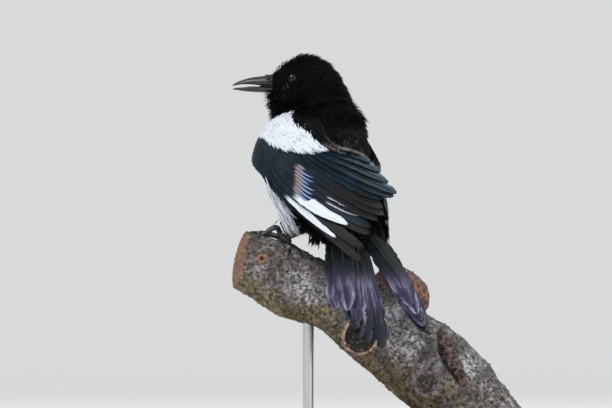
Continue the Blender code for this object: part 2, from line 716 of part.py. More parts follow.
def tail_half(tips, side, name):
    """Half of the tail: stepped feathers, the central one on top, joined at their roots."""
    count = len(tips)
    roots = []
    for index in range(count):
        inward = count - 1 - index
        roots.append(TAIL_ROOT + TAIL_ACROSS * (side * (TAIL_PARTING + inward * TAIL_ROOT_STEP))
                     - TAIL_UP * (inward * TAIL_DROP))
    first = new_object(name, tail_vane(roots[0], Vector(tips[0]), name))
    others = [tail_vane(roots[index], Vector(tips[index]), "vane") for index in range(1, count)]
    whole = union_all(first, others)
    knuckle_ends = [roots[0] + Vector((0, 2, 0)), roots[-1] + Vector((0, 2, 0))]
    knuckle = tube_mesh(knuckle_ends, TAIL_KNUCKLE, 10, "knuckle", 3)
    boolean(whole, new_object("knuckle", knuckle), "UNION")
    whole.data.materials.clear()
    whole.data.materials.append(material("tail_bronze"))
    return whole


def make_tail():
    """Two halves side by side, cut free of the rump and of each other."""
    left = tail_half(LEFT_TIPS, -1, "tail_left")
    right = tail_half(RIGHT_TIPS, 1, "tail_right")
    for half in (left, right):
        boolean(half, new_object("trunk_cutter", trunk_mesh(GAP, "trunk_cutter")))
        boolean(half, new_object("covert_cutter", tail_covert_mesh(GAP, "covert_cutter")))
        keep_largest(half)


def perch_ring(place, grow):
    """One ring of the branch's bark, with low swellings that follow a formula."""
    centre = curve_at(PERCH_LINE, place)
    step = 0.01
    ahead = curve_at(PERCH_LINE, min(place + step, 1.0))
    behind = curve_at(PERCH_LINE, max(place - step, 0.0))
    along = (ahead - behind).normalized()
    front = Vector((0.0, -1.0, 0.0))
    over = front.cross(along).normalized()
    if over.z < 0:
        over = -over
    radius = value_at(PERCH_RADII, place)
    ring = []
    for side in range(PERCH_SIDES):
        turn = math.tau * side / PERCH_SIDES
        swell = sum(height * math.sin(waves * turn + along_turn * place)
                    for height, waves, along_turn in PERCH_SWELLS)
        reach = radius + swell + grow
        ring.append(centre + over * (reach * math.cos(turn)) + front * (reach * math.sin(turn)))
    return ring


def perch_point(place, round_degrees, lift):
    """Point over the bark at a place along the branch; 0 degrees is on top, 90 faces the viewer."""
    ring = perch_ring(place, lift)
    turn = (round_degrees / 360.0 * PERCH_SIDES) % PERCH_SIDES
    low = int(turn)
    return ring[low].lerp(ring[(low + 1) % PERCH_SIDES], turn - low)


def perch_solid(grow, name):
    """The branch with its side stub."""
    rings = [perch_ring(index / (PERCH_STATIONS - 1), grow) for index in range(PERCH_STATIONS)]
    along = (Vector(PERCH_LINE[1]) - Vector(PERCH_LINE[0])).normalized()
    rings[0] = [point - along * (grow + CUT_SPARE) for point in rings[0]]
    whole = new_object(name, loft(rings, name))
    cut_away(whole, Vector(CUT_PLACE) + Vector(CUT_FACING).normalized() * grow, CUT_FACING)
    stub_radii = [radius + grow for radius in STUB_RADII]
    stub = new_object("stub", tube_mesh(STUB_LINE, stub_radii, STUB_SIDES, "stub", STUB_RINGS))
    return boolean(whole, stub, "UNION")


def make_perch():
    """Branch sawn level at its foot, with a knot hole and a healed knot."""
    perch = perch_solid(0.0, "perch")
    (place, radius, depth) = KNOT_HOLE
    rim = radius + KNOT_COLLAR
    boolean(perch, ball(place, (rim, KNOT_COLLAR_DEPTH, rim + KNOT_TALLER), "collar", 16, 10), "UNION")
    hollow_radii = (radius, depth, radius + KNOT_TALLER)
    boolean(perch, ball(Vector(place) + KNOT_HOLE_SHIFT, hollow_radii, "hole", 16, 10))
    (place, radius, height) = RING_KNOT
    boolean(perch, ball(place, (radius, height, radius), "knot", 16, 10), "UNION")
    cut_away(perch, (0.0, 0.0, PERCH_FOOT), (0.0, 0.0, -1.0))
    keep_largest(perch)
    perch.data.materials.append(material("bark"))


def nearest_place(point):
    """Place along the branch nearest to a world point."""
    best = min(range(401), key=lambda index: (curve_at(PERCH_LINE, index / 400) - Vector(point)).length)
    return best / 400


def perch_length():
    """Length of the branch's centre line."""
    spots = [curve_at(PERCH_LINE, index / 60) for index in range(61)]
    return sum((spots[index + 1] - spots[index]).length for index in range(60))


def make_leg(leg, toes, claws, side_name, torso_cutter, perch_cutter):
    """Thigh, tarsus, toes and claws of one side."""
    hip, heel = bird(*leg[0]), bird(*leg[1])
    start = nearest_place(leg[2])
    foot = perch_point(start, leg[3], FOOT_LIFT)
    knee_path = [hip, hip.lerp(heel, 0.5), heel]
    thigh_mesh = tube_mesh(knee_path, THIGH_RADII, 14, "thigh", 6)
    thigh = new_object(f"thigh_{side_name}", thigh_mesh, "plumage_black")
    boolean(thigh, torso_cutter, keep_cutter=True)
    keep_largest(thigh)
    tarsus_radii = [TARSUS_RADIUS + HEEL_SWELL, TARSUS_RADIUS, TARSUS_RADIUS + HEEL_SWELL / 2]
    tarsus_mesh = tube_mesh([heel, heel.lerp(foot, 0.5), foot], tarsus_radii, 12, "tarsus", 6)
    tarsus = new_object(f"tarsus_{side_name}", tarsus_mesh, "leg")
    knee_path[2] = heel + (heel - hip).normalized() * GAP
    thigh_cutter = new_object("thigh_cutter", tube_mesh(knee_path, [radius + GAP for radius in THIGH_RADII],
                                                        14, "thigh_cutter", 6))
    boolean(tarsus, thigh_cutter)
    boolean(tarsus, torso_cutter, keep_cutter=True)
    keep_largest(tarsus)

    length = perch_length()
    ankle = ball(foot, [ANKLE_RADIUS] * 3, f"foot_{side_name}", 12, 8)
    paths = []
    for toe in toes:
        path = [foot.copy()]
        for along, round_degrees, lift in toe:
            path.append(perch_point(start + along / length, round_degrees, lift))
        paths.append(path)
        radii = [TOE_RADIUS + TOE_ROOT_SWELL] + [TOE_RADIUS] * (len(path) - 2) + [TOE_RADIUS - TOE_TIP_TAPER]
        boolean(ankle, new_object("toe", tube_mesh(path, radii, 10, "toe", 2 * len(path) - 1)), "UNION")
    along = (foot - heel).normalized()
    cut_back = foot - along * ANKLE_CUT
    cut_away(ankle, cut_back, -along)
    cut_away(tarsus, cut_back - along * GAP, along)
    boolean(ankle, perch_cutter, keep_cutter=True)
    keep_largest(ankle)
    ankle.data.materials.append(material("leg"))

    for index, (path, claw, toe) in enumerate(zip(paths, claws, toes)):
        direction = (curve_at(path, 1.0) - curve_at(path, 0.98)).normalized()
        begin = path[-1] + direction * CLAW_START
        along_end, round_end, lift_end = toe[-1]
        tip_lift = max(lift_end + claw[2], CLAW_TIP_LIFT)
        tip = perch_point(start + (along_end + claw[0]) / length, round_end + claw[1], tip_lift)
        middle = begin + direction * ((tip - begin).length * 0.5)
        nail = new_object(f"claw_{side_name}_{index + 1}",
                          tube_mesh([begin, begin.lerp(middle, 0.4), middle.lerp(tip, 0.25), tip],
                                    CLAW_RADII, 8, "claw", 6), "horn")
        boolean(nail, perch_cutter, keep_cutter=True)
        keep_largest(nail)


def rounded_plate(size, corner, name):
    """Base plate with round corners and softened edges."""
    width, depth, height = size
    steps = 5
    outline = []
    for sign_x, sign_y, start in ((1, 1, 0), (-1, 1, 90), (-1, -1, 180), (1, -1, 270)):
        for step in range(steps + 1):
            turn = math.radians(start + 90 * step / steps)
            outline.append((sign_x * (width / 2 - corner) + corner * math.cos(turn),
                            sign_y * (depth / 2 - corner) + corner * math.sin(turn)))
    rings = []
    levels = ((0.0, BASE_EDGE / 2), (BASE_EDGE / 2, 0.0), (height - BASE_EDGE, 0.0), (height, BASE_EDGE))
    for level, inset in levels:
        narrow, shallow = 1 - 2 * inset / width, 1 - 2 * inset / depth
        rings.append([Vector((x * narrow, y * shallow, level)) for x, y in outline])
    return loft(rings, name)


def rod(place, low, high, name, cutter=None):
    """Upright round rod, cut to the bark where it ends."""
    rings = []
    for level in (low, high):
        rings.append([Vector((place[0] + ROD_RADIUS * math.cos(math.tau * side / ROD_SIDES),
                              place[1] + ROD_RADIUS * math.sin(math.tau * side / ROD_SIDES), level))
                      for side in range(ROD_SIDES)])
    made = new_object(name, loft(rings, name), "stand_steel")
    if cutter:
        boolean(made, cutter, keep_cutter=True)
        keep_largest(made)
    return made


def make_stand(perch_cutter):
    """Flat base, a tall rod under the branch's middle and a short one under its sawn foot."""
    new_object("stand_base", rounded_plate(BASE_SIZE, BASE_CORNER, "stand_base"), "stand_wood")
    low = BASE_SIZE[2] + GAP
    rod(FRONT_ROD, low, TALL_ROD_TOP, "stand_rod_tall", perch_cutter)
    rod(BACK_ROD, low, PERCH_FOOT - GAP, "stand_rod_short")


def smooth_all():
    """Shade round pieces smooth, sharp where faces meet at a steep angle."""
    for thing in bpy.context.scene.objects:
        if thing.type == "MESH":
            thing.data.shade_smooth()
            thing.data.set_sharp_from_angle(angle=math.radians(40))


def build():
    """Model every piece."""
    clear_scene()
    make_head_and_trunk()
    make_eyes()
    make_bill()
    make_wings()
    make_tail()
    make_perch()
    torso_cutter = new_object("torso_cutter", trunk_mesh(GAP, "torso_cutter"))
    perch_cutter = perch_solid(GAP, "perch_cutter")
    make_leg(LEFT_LEG, LEFT_TOES, LEFT_CLAWS, "left", torso_cutter, perch_cutter)
    make_leg(RIGHT_LEG, RIGHT_TOES, RIGHT_CLAWS, "right", torso_cutter, perch_cutter)
    make_stand(perch_cutter)
    for cutter in (torso_cutter, perch_cutter):
        bpy.data.objects.remove(cutter, do_unlink=True)
    smooth_all()


build()
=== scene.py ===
# %% [markdown]
# A young magpie on a cut branch, the size it is in life. The solid model gives every piece its place,
# and this script dresses it: skin, feathers, horn, bark and the stand. All lengths below are in
# millimetres unless a line says otherwise, because a bird is easier to think about in millimetres.

# %% Load the solid model
import math

import bmesh
import bpy
import numpy as np
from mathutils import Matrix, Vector, noise
from mathutils.bvhtree import BVHTree


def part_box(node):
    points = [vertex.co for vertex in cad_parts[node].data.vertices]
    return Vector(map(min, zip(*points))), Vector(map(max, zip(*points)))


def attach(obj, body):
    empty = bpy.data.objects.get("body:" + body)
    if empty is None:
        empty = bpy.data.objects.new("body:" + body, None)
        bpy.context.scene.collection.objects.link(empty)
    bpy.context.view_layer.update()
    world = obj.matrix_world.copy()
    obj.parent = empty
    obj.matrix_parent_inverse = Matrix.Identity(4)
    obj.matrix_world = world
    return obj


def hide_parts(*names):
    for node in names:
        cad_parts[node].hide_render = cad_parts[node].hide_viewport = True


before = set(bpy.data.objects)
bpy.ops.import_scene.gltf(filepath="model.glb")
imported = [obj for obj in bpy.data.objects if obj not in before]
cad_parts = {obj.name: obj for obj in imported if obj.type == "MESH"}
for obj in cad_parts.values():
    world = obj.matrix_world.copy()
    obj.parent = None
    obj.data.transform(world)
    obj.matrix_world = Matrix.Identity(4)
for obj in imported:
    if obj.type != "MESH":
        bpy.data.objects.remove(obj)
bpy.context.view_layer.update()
MM = 0.001
print("solid pieces:", len(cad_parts))

# %% [markdown]
# The photograph was taken from far away with a long lens, level with the bird. A near camera would
# swell the tail, which reaches towards the viewer, so the camera stands nine metres off and the lens
# is as long as that distance asks for.

# %% Camera
PICTURE_WIDTH = 440.6         # width of the view at the branch's middle plane
PICTURE_MIDDLE = (-49.7, 177.1)
CAMERA_DISTANCE = 9000.0
SENSOR = 36.0
FAR_LIMIT = 60.0              # metres


def link(name, data):
    """New object in the scene that holds some data."""
    made = bpy.data.objects.new(name, data)
    bpy.context.scene.collection.objects.link(made)
    return made


camera_data = bpy.data.cameras.new("camera")
camera_data.sensor_width = SENSOR
camera_data.lens = SENSOR * CAMERA_DISTANCE / PICTURE_WIDTH
camera_data.clip_end = FAR_LIMIT
camera = link("camera", camera_data)
camera.location = (PICTURE_MIDDLE[0] * MM, -CAMERA_DISTANCE * MM, PICTURE_MIDDLE[1] * MM)
camera.rotation_euler = (math.radians(90), 0.0, 0.0)
bpy.context.scene.camera = camera
print("lens", round(camera_data.lens))

# %% [markdown]
# The bird stands askew on its branch. Most of its feathers are easier to place in the trunk's own
# directions: ahead along the spine, left, and up out of the back. These are the solid model's angles.

# %% The trunk's own directions
TRUNK_MIDDLE = np.array((-36.0, 5.0, 197.3))
TRUNK_TURN, TRUNK_PITCH, TRUNK_ROLL = (math.radians(angle) for angle in (34.0, 42.0, 20.0))
AHEAD = np.array((-math.sin(TRUNK_TURN) * math.cos(TRUNK_PITCH),
                  math.cos(TRUNK_TURN) * math.cos(TRUNK_PITCH), math.sin(TRUNK_PITCH)))
LEVEL_RIGHT = np.array((math.cos(TRUNK_TURN), math.sin(TRUNK_TURN), 0.0))
LEVEL_UP = np.cross(LEVEL_RIGHT, AHEAD)
UP = LEVEL_UP * math.cos(TRUNK_ROLL) + LEVEL_RIGHT * math.sin(TRUNK_ROLL)
LEFT = LEVEL_UP * math.sin(TRUNK_ROLL) - LEVEL_RIGHT * math.cos(TRUNK_ROLL)
TRUNK_AXES = np.stack((AHEAD, LEFT, UP))


def to_world(places):
    """World points of places in the trunk's frame."""
    return TRUNK_MIDDLE + np.asarray(places, float) @ TRUNK_AXES


def to_trunk(points):
    """Places in the trunk's frame of world points."""
    return (np.asarray(points, float) - TRUNK_MIDDLE) @ TRUNK_AXES.T


def unit(vectors):
    """The same directions with length one."""
    vectors = np.asarray(vectors, float)
    return vectors / np.maximum(np.linalg.norm(vectors, axis=-1, keepdims=True), 1e-9)


def ease(low, high, value):
    """Smooth step from 0 below low to 1 above high."""
    share = np.clip((np.asarray(value, float) - low) / (high - low), 0.0, 1.0)
    return share * share * (3.0 - 2.0 * share)


def mix(first, second, share):
    """Blend of two arrays."""
    share = np.asarray(share)[..., None]
    return np.asarray(first) * (1.0 - share) + np.asarray(second) * share


dice = np.random.default_rng(24)

# %% [markdown]
# A material is written as sums. The class below wraps one socket, so that plus, minus and times in
# Python add the Math nodes, and a Finish adds every other node through one method. That keeps a
# material as short as the idea behind it.

# %% Sums for materials
class Wire:
    """A number that flows through a material."""

    def __init__(self, finish, socket):
        self.finish = finish
        self.socket = socket

    def sum_of(self, operation, *values):
        return self.finish.node("Math", {"operation": operation}, dict(enumerate(values)))

    def __add__(self, other):
        return self.sum_of("ADD", self, other)

    def __radd__(self, other):
        return self.sum_of("ADD", other, self)

    def __sub__(self, other):
        return self.sum_of("SUBTRACT", self, other)

    def __rsub__(self, other):
        return self.sum_of("SUBTRACT", other, self)

    def __mul__(self, other):
        return self.sum_of("MULTIPLY", self, other)

    def __abs__(self):
        return self.sum_of("ABSOLUTE", self)

    def sine(self):
        return self.sum_of("SINE", self)


class Finish:
    """A Principled material and the nodes that vary it."""

    def __init__(self, name, gloss=None, **settings):
        self.material = bpy.data.materials.new(name)
        self.material.use_nodes = True
        self.nodes = self.material.node_tree.nodes
        self.links = self.material.node_tree.links
        self.shader = self.nodes["Principled BSDF"]
        for key, value in settings.items():
            self.shader.inputs[key.replace("_", " ").title()].default_value = value
        if gloss is not None:
            self.shader.inputs["Specular IOR Level"].default_value = gloss

    def node(self, kind, settings=(), inputs=(), out=0):
        """Add a node with its settings and inputs, and return one of its outputs."""
        made = self.nodes.new("ShaderNode" + kind)
        for key, value in dict(settings).items():
            setattr(made, key, value)
        for key, value in dict(inputs).items():
            if isinstance(value, Wire):
                self.links.new(value.socket, made.inputs[key])
            else:
                made.inputs[key].default_value = value
        return Wire(self, made.outputs[out])

    def blend(self, share, first, second):
        """Blend two colours, each a wire or three numbers."""
        pair = [value if isinstance(value, Wire) else (*value, 1.0) for value in (first, second)]
        return self.node("Mix", {"data_type": "RGBA"}, {0: share, 6: pair[0], 7: pair[1]}, 2)

    def step(self, low, high, value):
        """Smooth step of a wire from 0 at low to 1 at high."""
        return self.node("MapRange", {"interpolation_type": "SMOOTHSTEP"}, {0: value, 1: low, 2: high})

    def place(self, scale=(1.0, 1.0, 1.0)):
        """Object coordinates, stretched."""
        return self.node("Mapping", {}, {0: self.node("TexCoord", out=3), 3: scale})

    def grain(self, scale, detail=4.0, stretch=(1.0, 1.0, 1.0)):
        """Noise on the object, from 0 to 1."""
        return self.node("TexNoise", {}, {0: self.place(stretch), "Scale": scale, "Detail": detail,
                                          "Roughness": 0.55})

    def attribute(self, name):
        """A colour stored on the mesh."""
        return self.node("Attribute", {"attribute_name": name})

    def split(self, kind, wire):
        """The three parts of a place or a colour."""
        first = self.node("Separate" + kind, {}, {0: wire})
        return [Wire(self, socket) for socket in first.socket.node.outputs[:3]]

    def feed(self, socket, wire):
        """Link a wire to a socket of the shader."""
        self.links.new(wire.socket, self.shader.inputs[socket])

    def paint(self, share, first, second):
        """Take a blend of two colours as the finish's own."""
        self.feed("Base Color", self.blend(share, first, second))

    def scuff(self, low, spread, scale, detail=4.0, stretch=(1.0, 1.0, 1.0)):
        """Let the roughness wander upwards from its lowest value."""
        self.feed("Roughness", self.grain(scale, detail, stretch) * spread + low)

    def bump(self, height, distance, strength):
        """Relief from a height wire, in metres of distance."""
        self.feed("Normal", self.node("Bump", {}, {"Height": height, "Distance": distance,
                                                   "Strength": strength}))


# %% [markdown]
# Every mesh of this scene comes through one function. It takes arrays, which is the quick way to make
# a hundred thousand small triangles, and it can store colours and UV maps beside them.

# %% Meshes from arrays
def mesh_object(name, points, faces, material, smooth=True):
    """Object with one mesh of equal-sized faces, its points in millimetres."""
    points = np.ascontiguousarray(points, dtype=np.float32) * MM
    faces = np.ascontiguousarray(faces, dtype=np.int32)
    corners = faces.shape[1]
    mesh = bpy.data.meshes.new(name)
    mesh.vertices.add(len(points))
    mesh.vertices.foreach_set("co", points.ravel())
    mesh.loops.add(faces.size)
    mesh.loops.foreach_set("vertex_index", faces.ravel())
    mesh.polygons.add(len(faces))
    mesh.polygons.foreach_set("loop_start", np.arange(0, faces.size, corners, dtype=np.int32))
    mesh.update(calc_edges=True)
    mesh.polygons.foreach_set("use_smooth", np.full(len(faces), smooth))
    mesh.materials.append(material)
    return link(name, mesh)


def object_from(shape, name, *materials):
    """Smooth object from a shape that was built face by face."""
    mesh = bpy.data.meshes.new(name)
    shape.to_mesh(mesh)
    shape.free()
    mesh.shade_smooth()
    for material in materials:
        mesh.materials.append(material)
    return link(name, mesh)


def field(source, name, width, kind=np.float32):
    """One field of a mesh's parts, as rows of numbers."""
    flat = np.empty(len(source) * width, kind)
    source.foreach_get(name, flat)
    return flat.reshape(-1, width)


def store_colour(thing, name, colours):
    """Keep one colour for each point."""
    colours = np.concatenate((colours, np.ones((len(colours), 1))), axis=1)
    layer = thing.data.color_attributes.new(name, "FLOAT_COLOR", "POINT")
    layer.data.foreach_set("color", colours.astype(np.float32).ravel())


def store_uv(thing, name, uv_of_points):
    """Keep a UV map that is given point by point."""
    corners = field(thing.data.loops, "vertex_index", 1, np.int32)[:, 0]
    layer = thing.data.uv_layers.new(name=name)
    layer.uv.foreach_set("vector", np.asarray(uv_of_points, np.float32)[corners].ravel())


def points_of(thing):
    """The points of an object in millimetres."""
    return field(thing.data.vertices, "co", 3).astype(float) / MM


def normals_of(thing):
    """The normals at the points of an object."""
    return field(thing.data.vertex_normals, "vector", 3).astype(float)


def move_points(thing, points):
    """Put an object's points at new places."""
    thing.data.vertices.foreach_set("co", (np.asarray(points) * MM).astype(np.float32).ravel())
    thing.data.update()


def settle(thing, slot, *nodes):
    """Hang a finished piece on the bird and hide the solids it stands for. The slot is not used."""
    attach(thing, "root")
    if nodes:
        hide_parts(*nodes)


# %% [markdown]
# The bird's flesh is one body, but the solid model has it in pieces with fine gaps. Copies of those
# pieces are joined and remeshed into one closed skin. It is then drawn in by the depth of the coat, so
# that the feathers end where the solid model's surface is. Round the eyes it stays where it was.

# %% One skin
FLESH = ("torso", "neck", "head", "thigh_left", "thigh_right")
SKIN_VOXEL = 1.3
COAT_DEPTH = 2.6
HEAD_SHALLOWER, THROAT_SHALLOWER = 1.2, 1.0
EYE_CENTRES = np.array(((-59.5, 22.0, 267.8), (-59.5, 42.0, 267.8)))
BILL_ROOT = np.array((-74.5, 32.0, 264.0))


def work_in(thing):
    """Turn an object's modifiers into plain mesh."""
    graph = bpy.context.evaluated_depsgraph_get()
    mesh = bpy.data.meshes.new_from_object(thing.evaluated_get(graph))
    thing.modifiers.clear()
    thing.data = mesh
    return thing


def even_copy(nodes, name, voxel, smoothing):
    """Closed, even mesh over merged copies of solid nodes."""
    shape = bmesh.new()
    for node in nodes:
        shape.from_mesh(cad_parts[node].data)
    bmesh.ops.remove_doubles(shape, verts=shape.verts, dist=1e-6)
    thing = object_from(shape, name)
    modifier = thing.modifiers.new("even", "REMESH")
    modifier.mode = "VOXEL"
    modifier.voxel_size = voxel * MM
    modifier.use_smooth_shade = True
    softener = thing.modifiers.new("soft", "SMOOTH")
    softener.iterations = smoothing
    softener.factor = 0.5
    return work_in(thing)


def eye_gap(points):
    """Distance from the nearer eye's centre."""
    return np.min(np.linalg.norm(points[:, None] - EYE_CENTRES[None], axis=2), axis=1)


skin = even_copy(FLESH, "skin", SKIN_VOXEL, 9)
skin_points = points_of(skin)
skin_x, _, skin_z = skin_points.T
head_share = ease(232.0, 250.0, skin_z) * (1.0 - ease(-40.0, -15.0, skin_x))
throat_share = head_share * (1.0 - ease(244.0, 262.0, skin_z)) * (skin_x < -50.0)
coat_depth = COAT_DEPTH - HEAD_SHALLOWER * head_share - THROAT_SHALLOWER * throat_share
bill_gap = np.linalg.norm(skin_points - BILL_ROOT, axis=1)
coat_depth *= ease(4.6, 9.0, eye_gap(skin_points)) * (0.25 + 0.75 * ease(5.0, 13.0, bill_gap))
move_points(skin, skin_points - normals_of(skin) * coat_depth[:, None])
print("skin points:", len(skin_points))

# %% [markdown]
# A magpie is black with a white shoulder patch on each side and a white belly and flanks. The skin
# and every feather on it ask the same function for their colour, so that no odd colour shows through.

# %% Markings
BLACK = np.array((0.0022, 0.0024, 0.0034))
WHITE = np.array((0.60, 0.64, 0.71))
GREY_FRINGE = np.array((0.17, 0.15, 0.14))
SHOULDER_LINE = ((45.0, 84.0), (-13.0, 56.0))      # ahead and degrees from the back's middle
SHOULDER_HALF = 15.0
THIGHS = (((-16, 16, -27), (-43, 19, -16)), ((-16, -15, -27), (-40, -12, -24)))


def shoulder_share(places):
    """How far points lie inside the white shoulder patches, from 0 to 1."""
    ahead, left, up = places.T
    turn = np.degrees(np.arctan2(np.abs(left), up))
    (front, front_turn), (back, back_turn) = SHOULDER_LINE
    along = (front - ahead) / (front - back)
    middle = front_turn + (back_turn - front_turn) * along
    half = SHOULDER_HALF * np.sqrt(np.clip(1.0 - ((along - 0.30) / 0.72) ** 2, 0.0, 1.0))
    return ease(-3.0, 3.0, half - np.abs(turn - middle)) * ease(-0.30, -0.2, along) * (half > 1.0)


def line_gap(places, start, end):
    """Distance of places from a straight line between two others."""
    start, way = np.array(start, float), np.subtract(end, start).astype(float)
    share = np.clip((places - start) @ way / (way @ way), 0.0, 1.0)
    return np.linalg.norm(places - start - share[:, None] * way, axis=1)


def belly_share(places):
    """How far points lie on the white belly and flanks, from 0 to 1."""
    ahead, left, up = places.T
    low = ease(2.0, 12.0, -up - 4.0 + 0.10 * ahead)
    thigh = np.min([line_gap(places, start, end) for start, end in THIGHS], axis=0)
    return low * (1.0 - ease(24.0, 34.0, ahead)) * ease(-24.0, -16.0, ahead) * ease(13.0, 17.0, thigh)


def marking(points):
    """Share of white at world points."""
    places = to_trunk(points)
    trunk_only = 1.0 - ease(232.0, 244.0, points[:, 2])
    return np.clip(shoulder_share(places) + belly_share(places), 0.0, 1.0) * trunk_only


skin_finish = Finish("skin", gloss=0.05, roughness=0.85)
skin_finish.paint(skin_finish.grain(260.0) * 0.35, skin_finish.attribute("tint"), BLACK * 0.5)
skin.data.materials.append(skin_finish.material)
skin_points = points_of(skin)
store_colour(skin, "tint", mix(BLACK * 0.7, WHITE * 0.75, marking(skin_points)))
settle(skin, "plumage_black", *FLESH)

# %% [markdown]
# Feathers lie from the bill back over the body. A few listed arrows say which way they point, and
# every root blends the arrows near it, then drops the part that would point into the body.

# %% The lie of the coat
LIE_ARROWS = (
    ((-74, 32, 268), (1.0, 0.0, 0.5)), ((-62, 32, 282), (1.0, 0.0, 0.25)),
    ((-46, 32, 286), (1.0, 0.0, -0.15)),
    ((-30, 30, 278), (0.75, -0.05, -0.8)), ((-20, 26, 258), (0.3, -0.15, -1.0)),
    ((-58, 16, 262), (1.0, -0.1, -0.25)), ((-40, 14, 258), (0.8, -0.1, -0.6)),
    ((-58, 48, 262), (1.0, 0.1, -0.25)), ((-40, 50, 258), (0.8, 0.1, -0.6)),
    ((-70, 32, 254), (0.55, 0.0, -1.0)), ((-66, 32, 242), (0.1, 0.0, -1.0)),
    ((-44, 12, 242), (0.2, -0.2, -1.0)), ((-70, 40, 225), (0.0, -0.1, -1.0)),
)
TRUNK_ARROWS = (((40, 0, 40), (-1, 0, -0.2)), ((0, 0, 40), (-1, 0, -0.1)), ((-45, 0, 16), (-1, 0, -0.1)),
                ((30, 30, 10), (-1, 0.1, -0.35)), ((30, -30, 10), (-1, -0.1, -0.35)),
                ((0, 32, -18), (-1, -0.05, -0.5)), ((0, -32, -18), (-1, 0.05, -0.5)),
                ((40, 0, -30), (-1, 0, -0.6)), ((0, 0, -40), (-1, 0, -0.1)), ((-40, 0, -24), (-1, 0, 0.25)),
                ((-30, 22, -20), (-0.9, -0.1, -0.6)), ((-30, -22, -20), (-0.9, 0.1, -0.6)))
ARROW_REACH = 15.0
trunk_places, trunk_ways = (np.array([arrow[part] for arrow in TRUNK_ARROWS]) for part in (0, 1))
arrow_places = np.concatenate(([place for place, _ in LIE_ARROWS], to_world(trunk_places)))
arrow_ways = unit(np.concatenate(([way for _, way in LIE_ARROWS], trunk_ways @ TRUNK_AXES)))


def along_surface(ways, outward, share=1.0):
    """Directions without their part along the outward normal, or without a share of it."""
    return ways - outward * (ways * outward).sum(axis=-1, keepdims=True) * share


def lie_at(points, outward):
    """Direction of the feathers at points with those outward normals."""
    gap = np.linalg.norm(points[:, None] - arrow_places[None], axis=2)
    weight = np.exp(-(gap / ARROW_REACH) ** 2 / 2.0) + 1e-6 / (gap + 1.0)
    way = unit((weight[:, :, None] * arrow_ways[None]).sum(axis=1))
    return unit(along_surface(way, outward) + 1e-6)


# %% [markdown]
# The skin is unwrapped once. Each small feather later takes a tiny patch of that map at its own root,
# so that a picture baked from the coat keeps its markings where they belong.

# %% Unwrap the skin
bpy.context.view_layer.objects.active = skin
skin.select_set(True)
bpy.ops.object.mode_set(mode="EDIT")
bpy.ops.mesh.select_all(action="SELECT")
bpy.ops.uv.smart_project(angle_limit=math.radians(66), island_margin=0.004)
bpy.ops.object.mode_set(mode="OBJECT")
skin.data.uv_layers.active.name = "OFBake"
skin.select_set(False)
skin.data.calc_loop_triangles()
skin_corners = field(skin.data.loop_triangles, "vertices", 3, np.int32)
skin_loops = field(skin.data.loop_triangles, "loops", 3, np.int32)
skin_uv = field(skin.data.uv_layers["OFBake"].uv, "vector", 2)
skin_normals = normals_of(skin)
skin_sides = skin_points[skin_corners[:, 1:]] - skin_points[skin_corners[:, :1]]
skin_areas = np.linalg.norm(np.cross(skin_sides[:, 0], skin_sides[:, 1]), axis=1) / 2.0
skin_tree = BVHTree.FromPolygons([Vector(point) for point in skin_points], skin_corners.tolist())
print("skin triangles:", len(skin_corners))


def scatter(density):
    """Random roots on the skin: density(points) is how many feathers grow on a square millimetre."""
    wanted = skin_areas * density(skin_points[skin_corners].mean(axis=1))
    counts = np.floor(wanted + dice.random(len(wanted))).astype(int)
    owner = np.repeat(np.arange(len(counts)), counts)
    first, second = dice.random(len(owner)), dice.random(len(owner))
    folded = first + second > 1.0
    first[folded], second[folded] = 1.0 - first[folded], 1.0 - second[folded]
    shares = np.stack((1.0 - first - second, first, second), axis=1)[:, :, None]

    def between(values, corners):
        return (values[corners[owner]] * shares).sum(axis=1)

    return (between(skin_points, skin_corners), unit(between(skin_normals, skin_corners)),
            between(skin_uv, skin_loops))


# %% [markdown]
# A small feather is a thin blade: three rings of three points that end in a tip, so it is a closed
# body of sixteen triangles. One call lays thousands of them as a single mesh. Each blade bends back
# towards the body, and its root sinks into the skin.

# %% Blades for the coat
RING_PLACES = (0.0, 0.36, 0.72)
RING_WIDTHS = (0.45, 1.0, 0.72)
ROOT_SINK = 0.7
RIDGE_SHARE, RIDGE_LEAST = 0.42, 0.08    # of half the width, and in millimetres
BLADE_POINTS = 10
PATCH = 0.003                 # of the whole map
COAT_SLOT = "plumage_black"
blade_faces = [(0, 2, 1), (6, 7, 9), (7, 8, 9), (8, 6, 9)]
for low in (0, 3):
    for corner, after in ((0, 1), (1, 2), (2, 0)):
        blade_faces += [(low + corner, low + after, low + after + 3),
                        (low + corner, low + after + 3, low + corner + 3)]
coat = Finish("small_feathers", gloss=0.08, roughness=0.55)
coat.feed("Base Color", coat.attribute("tint"))


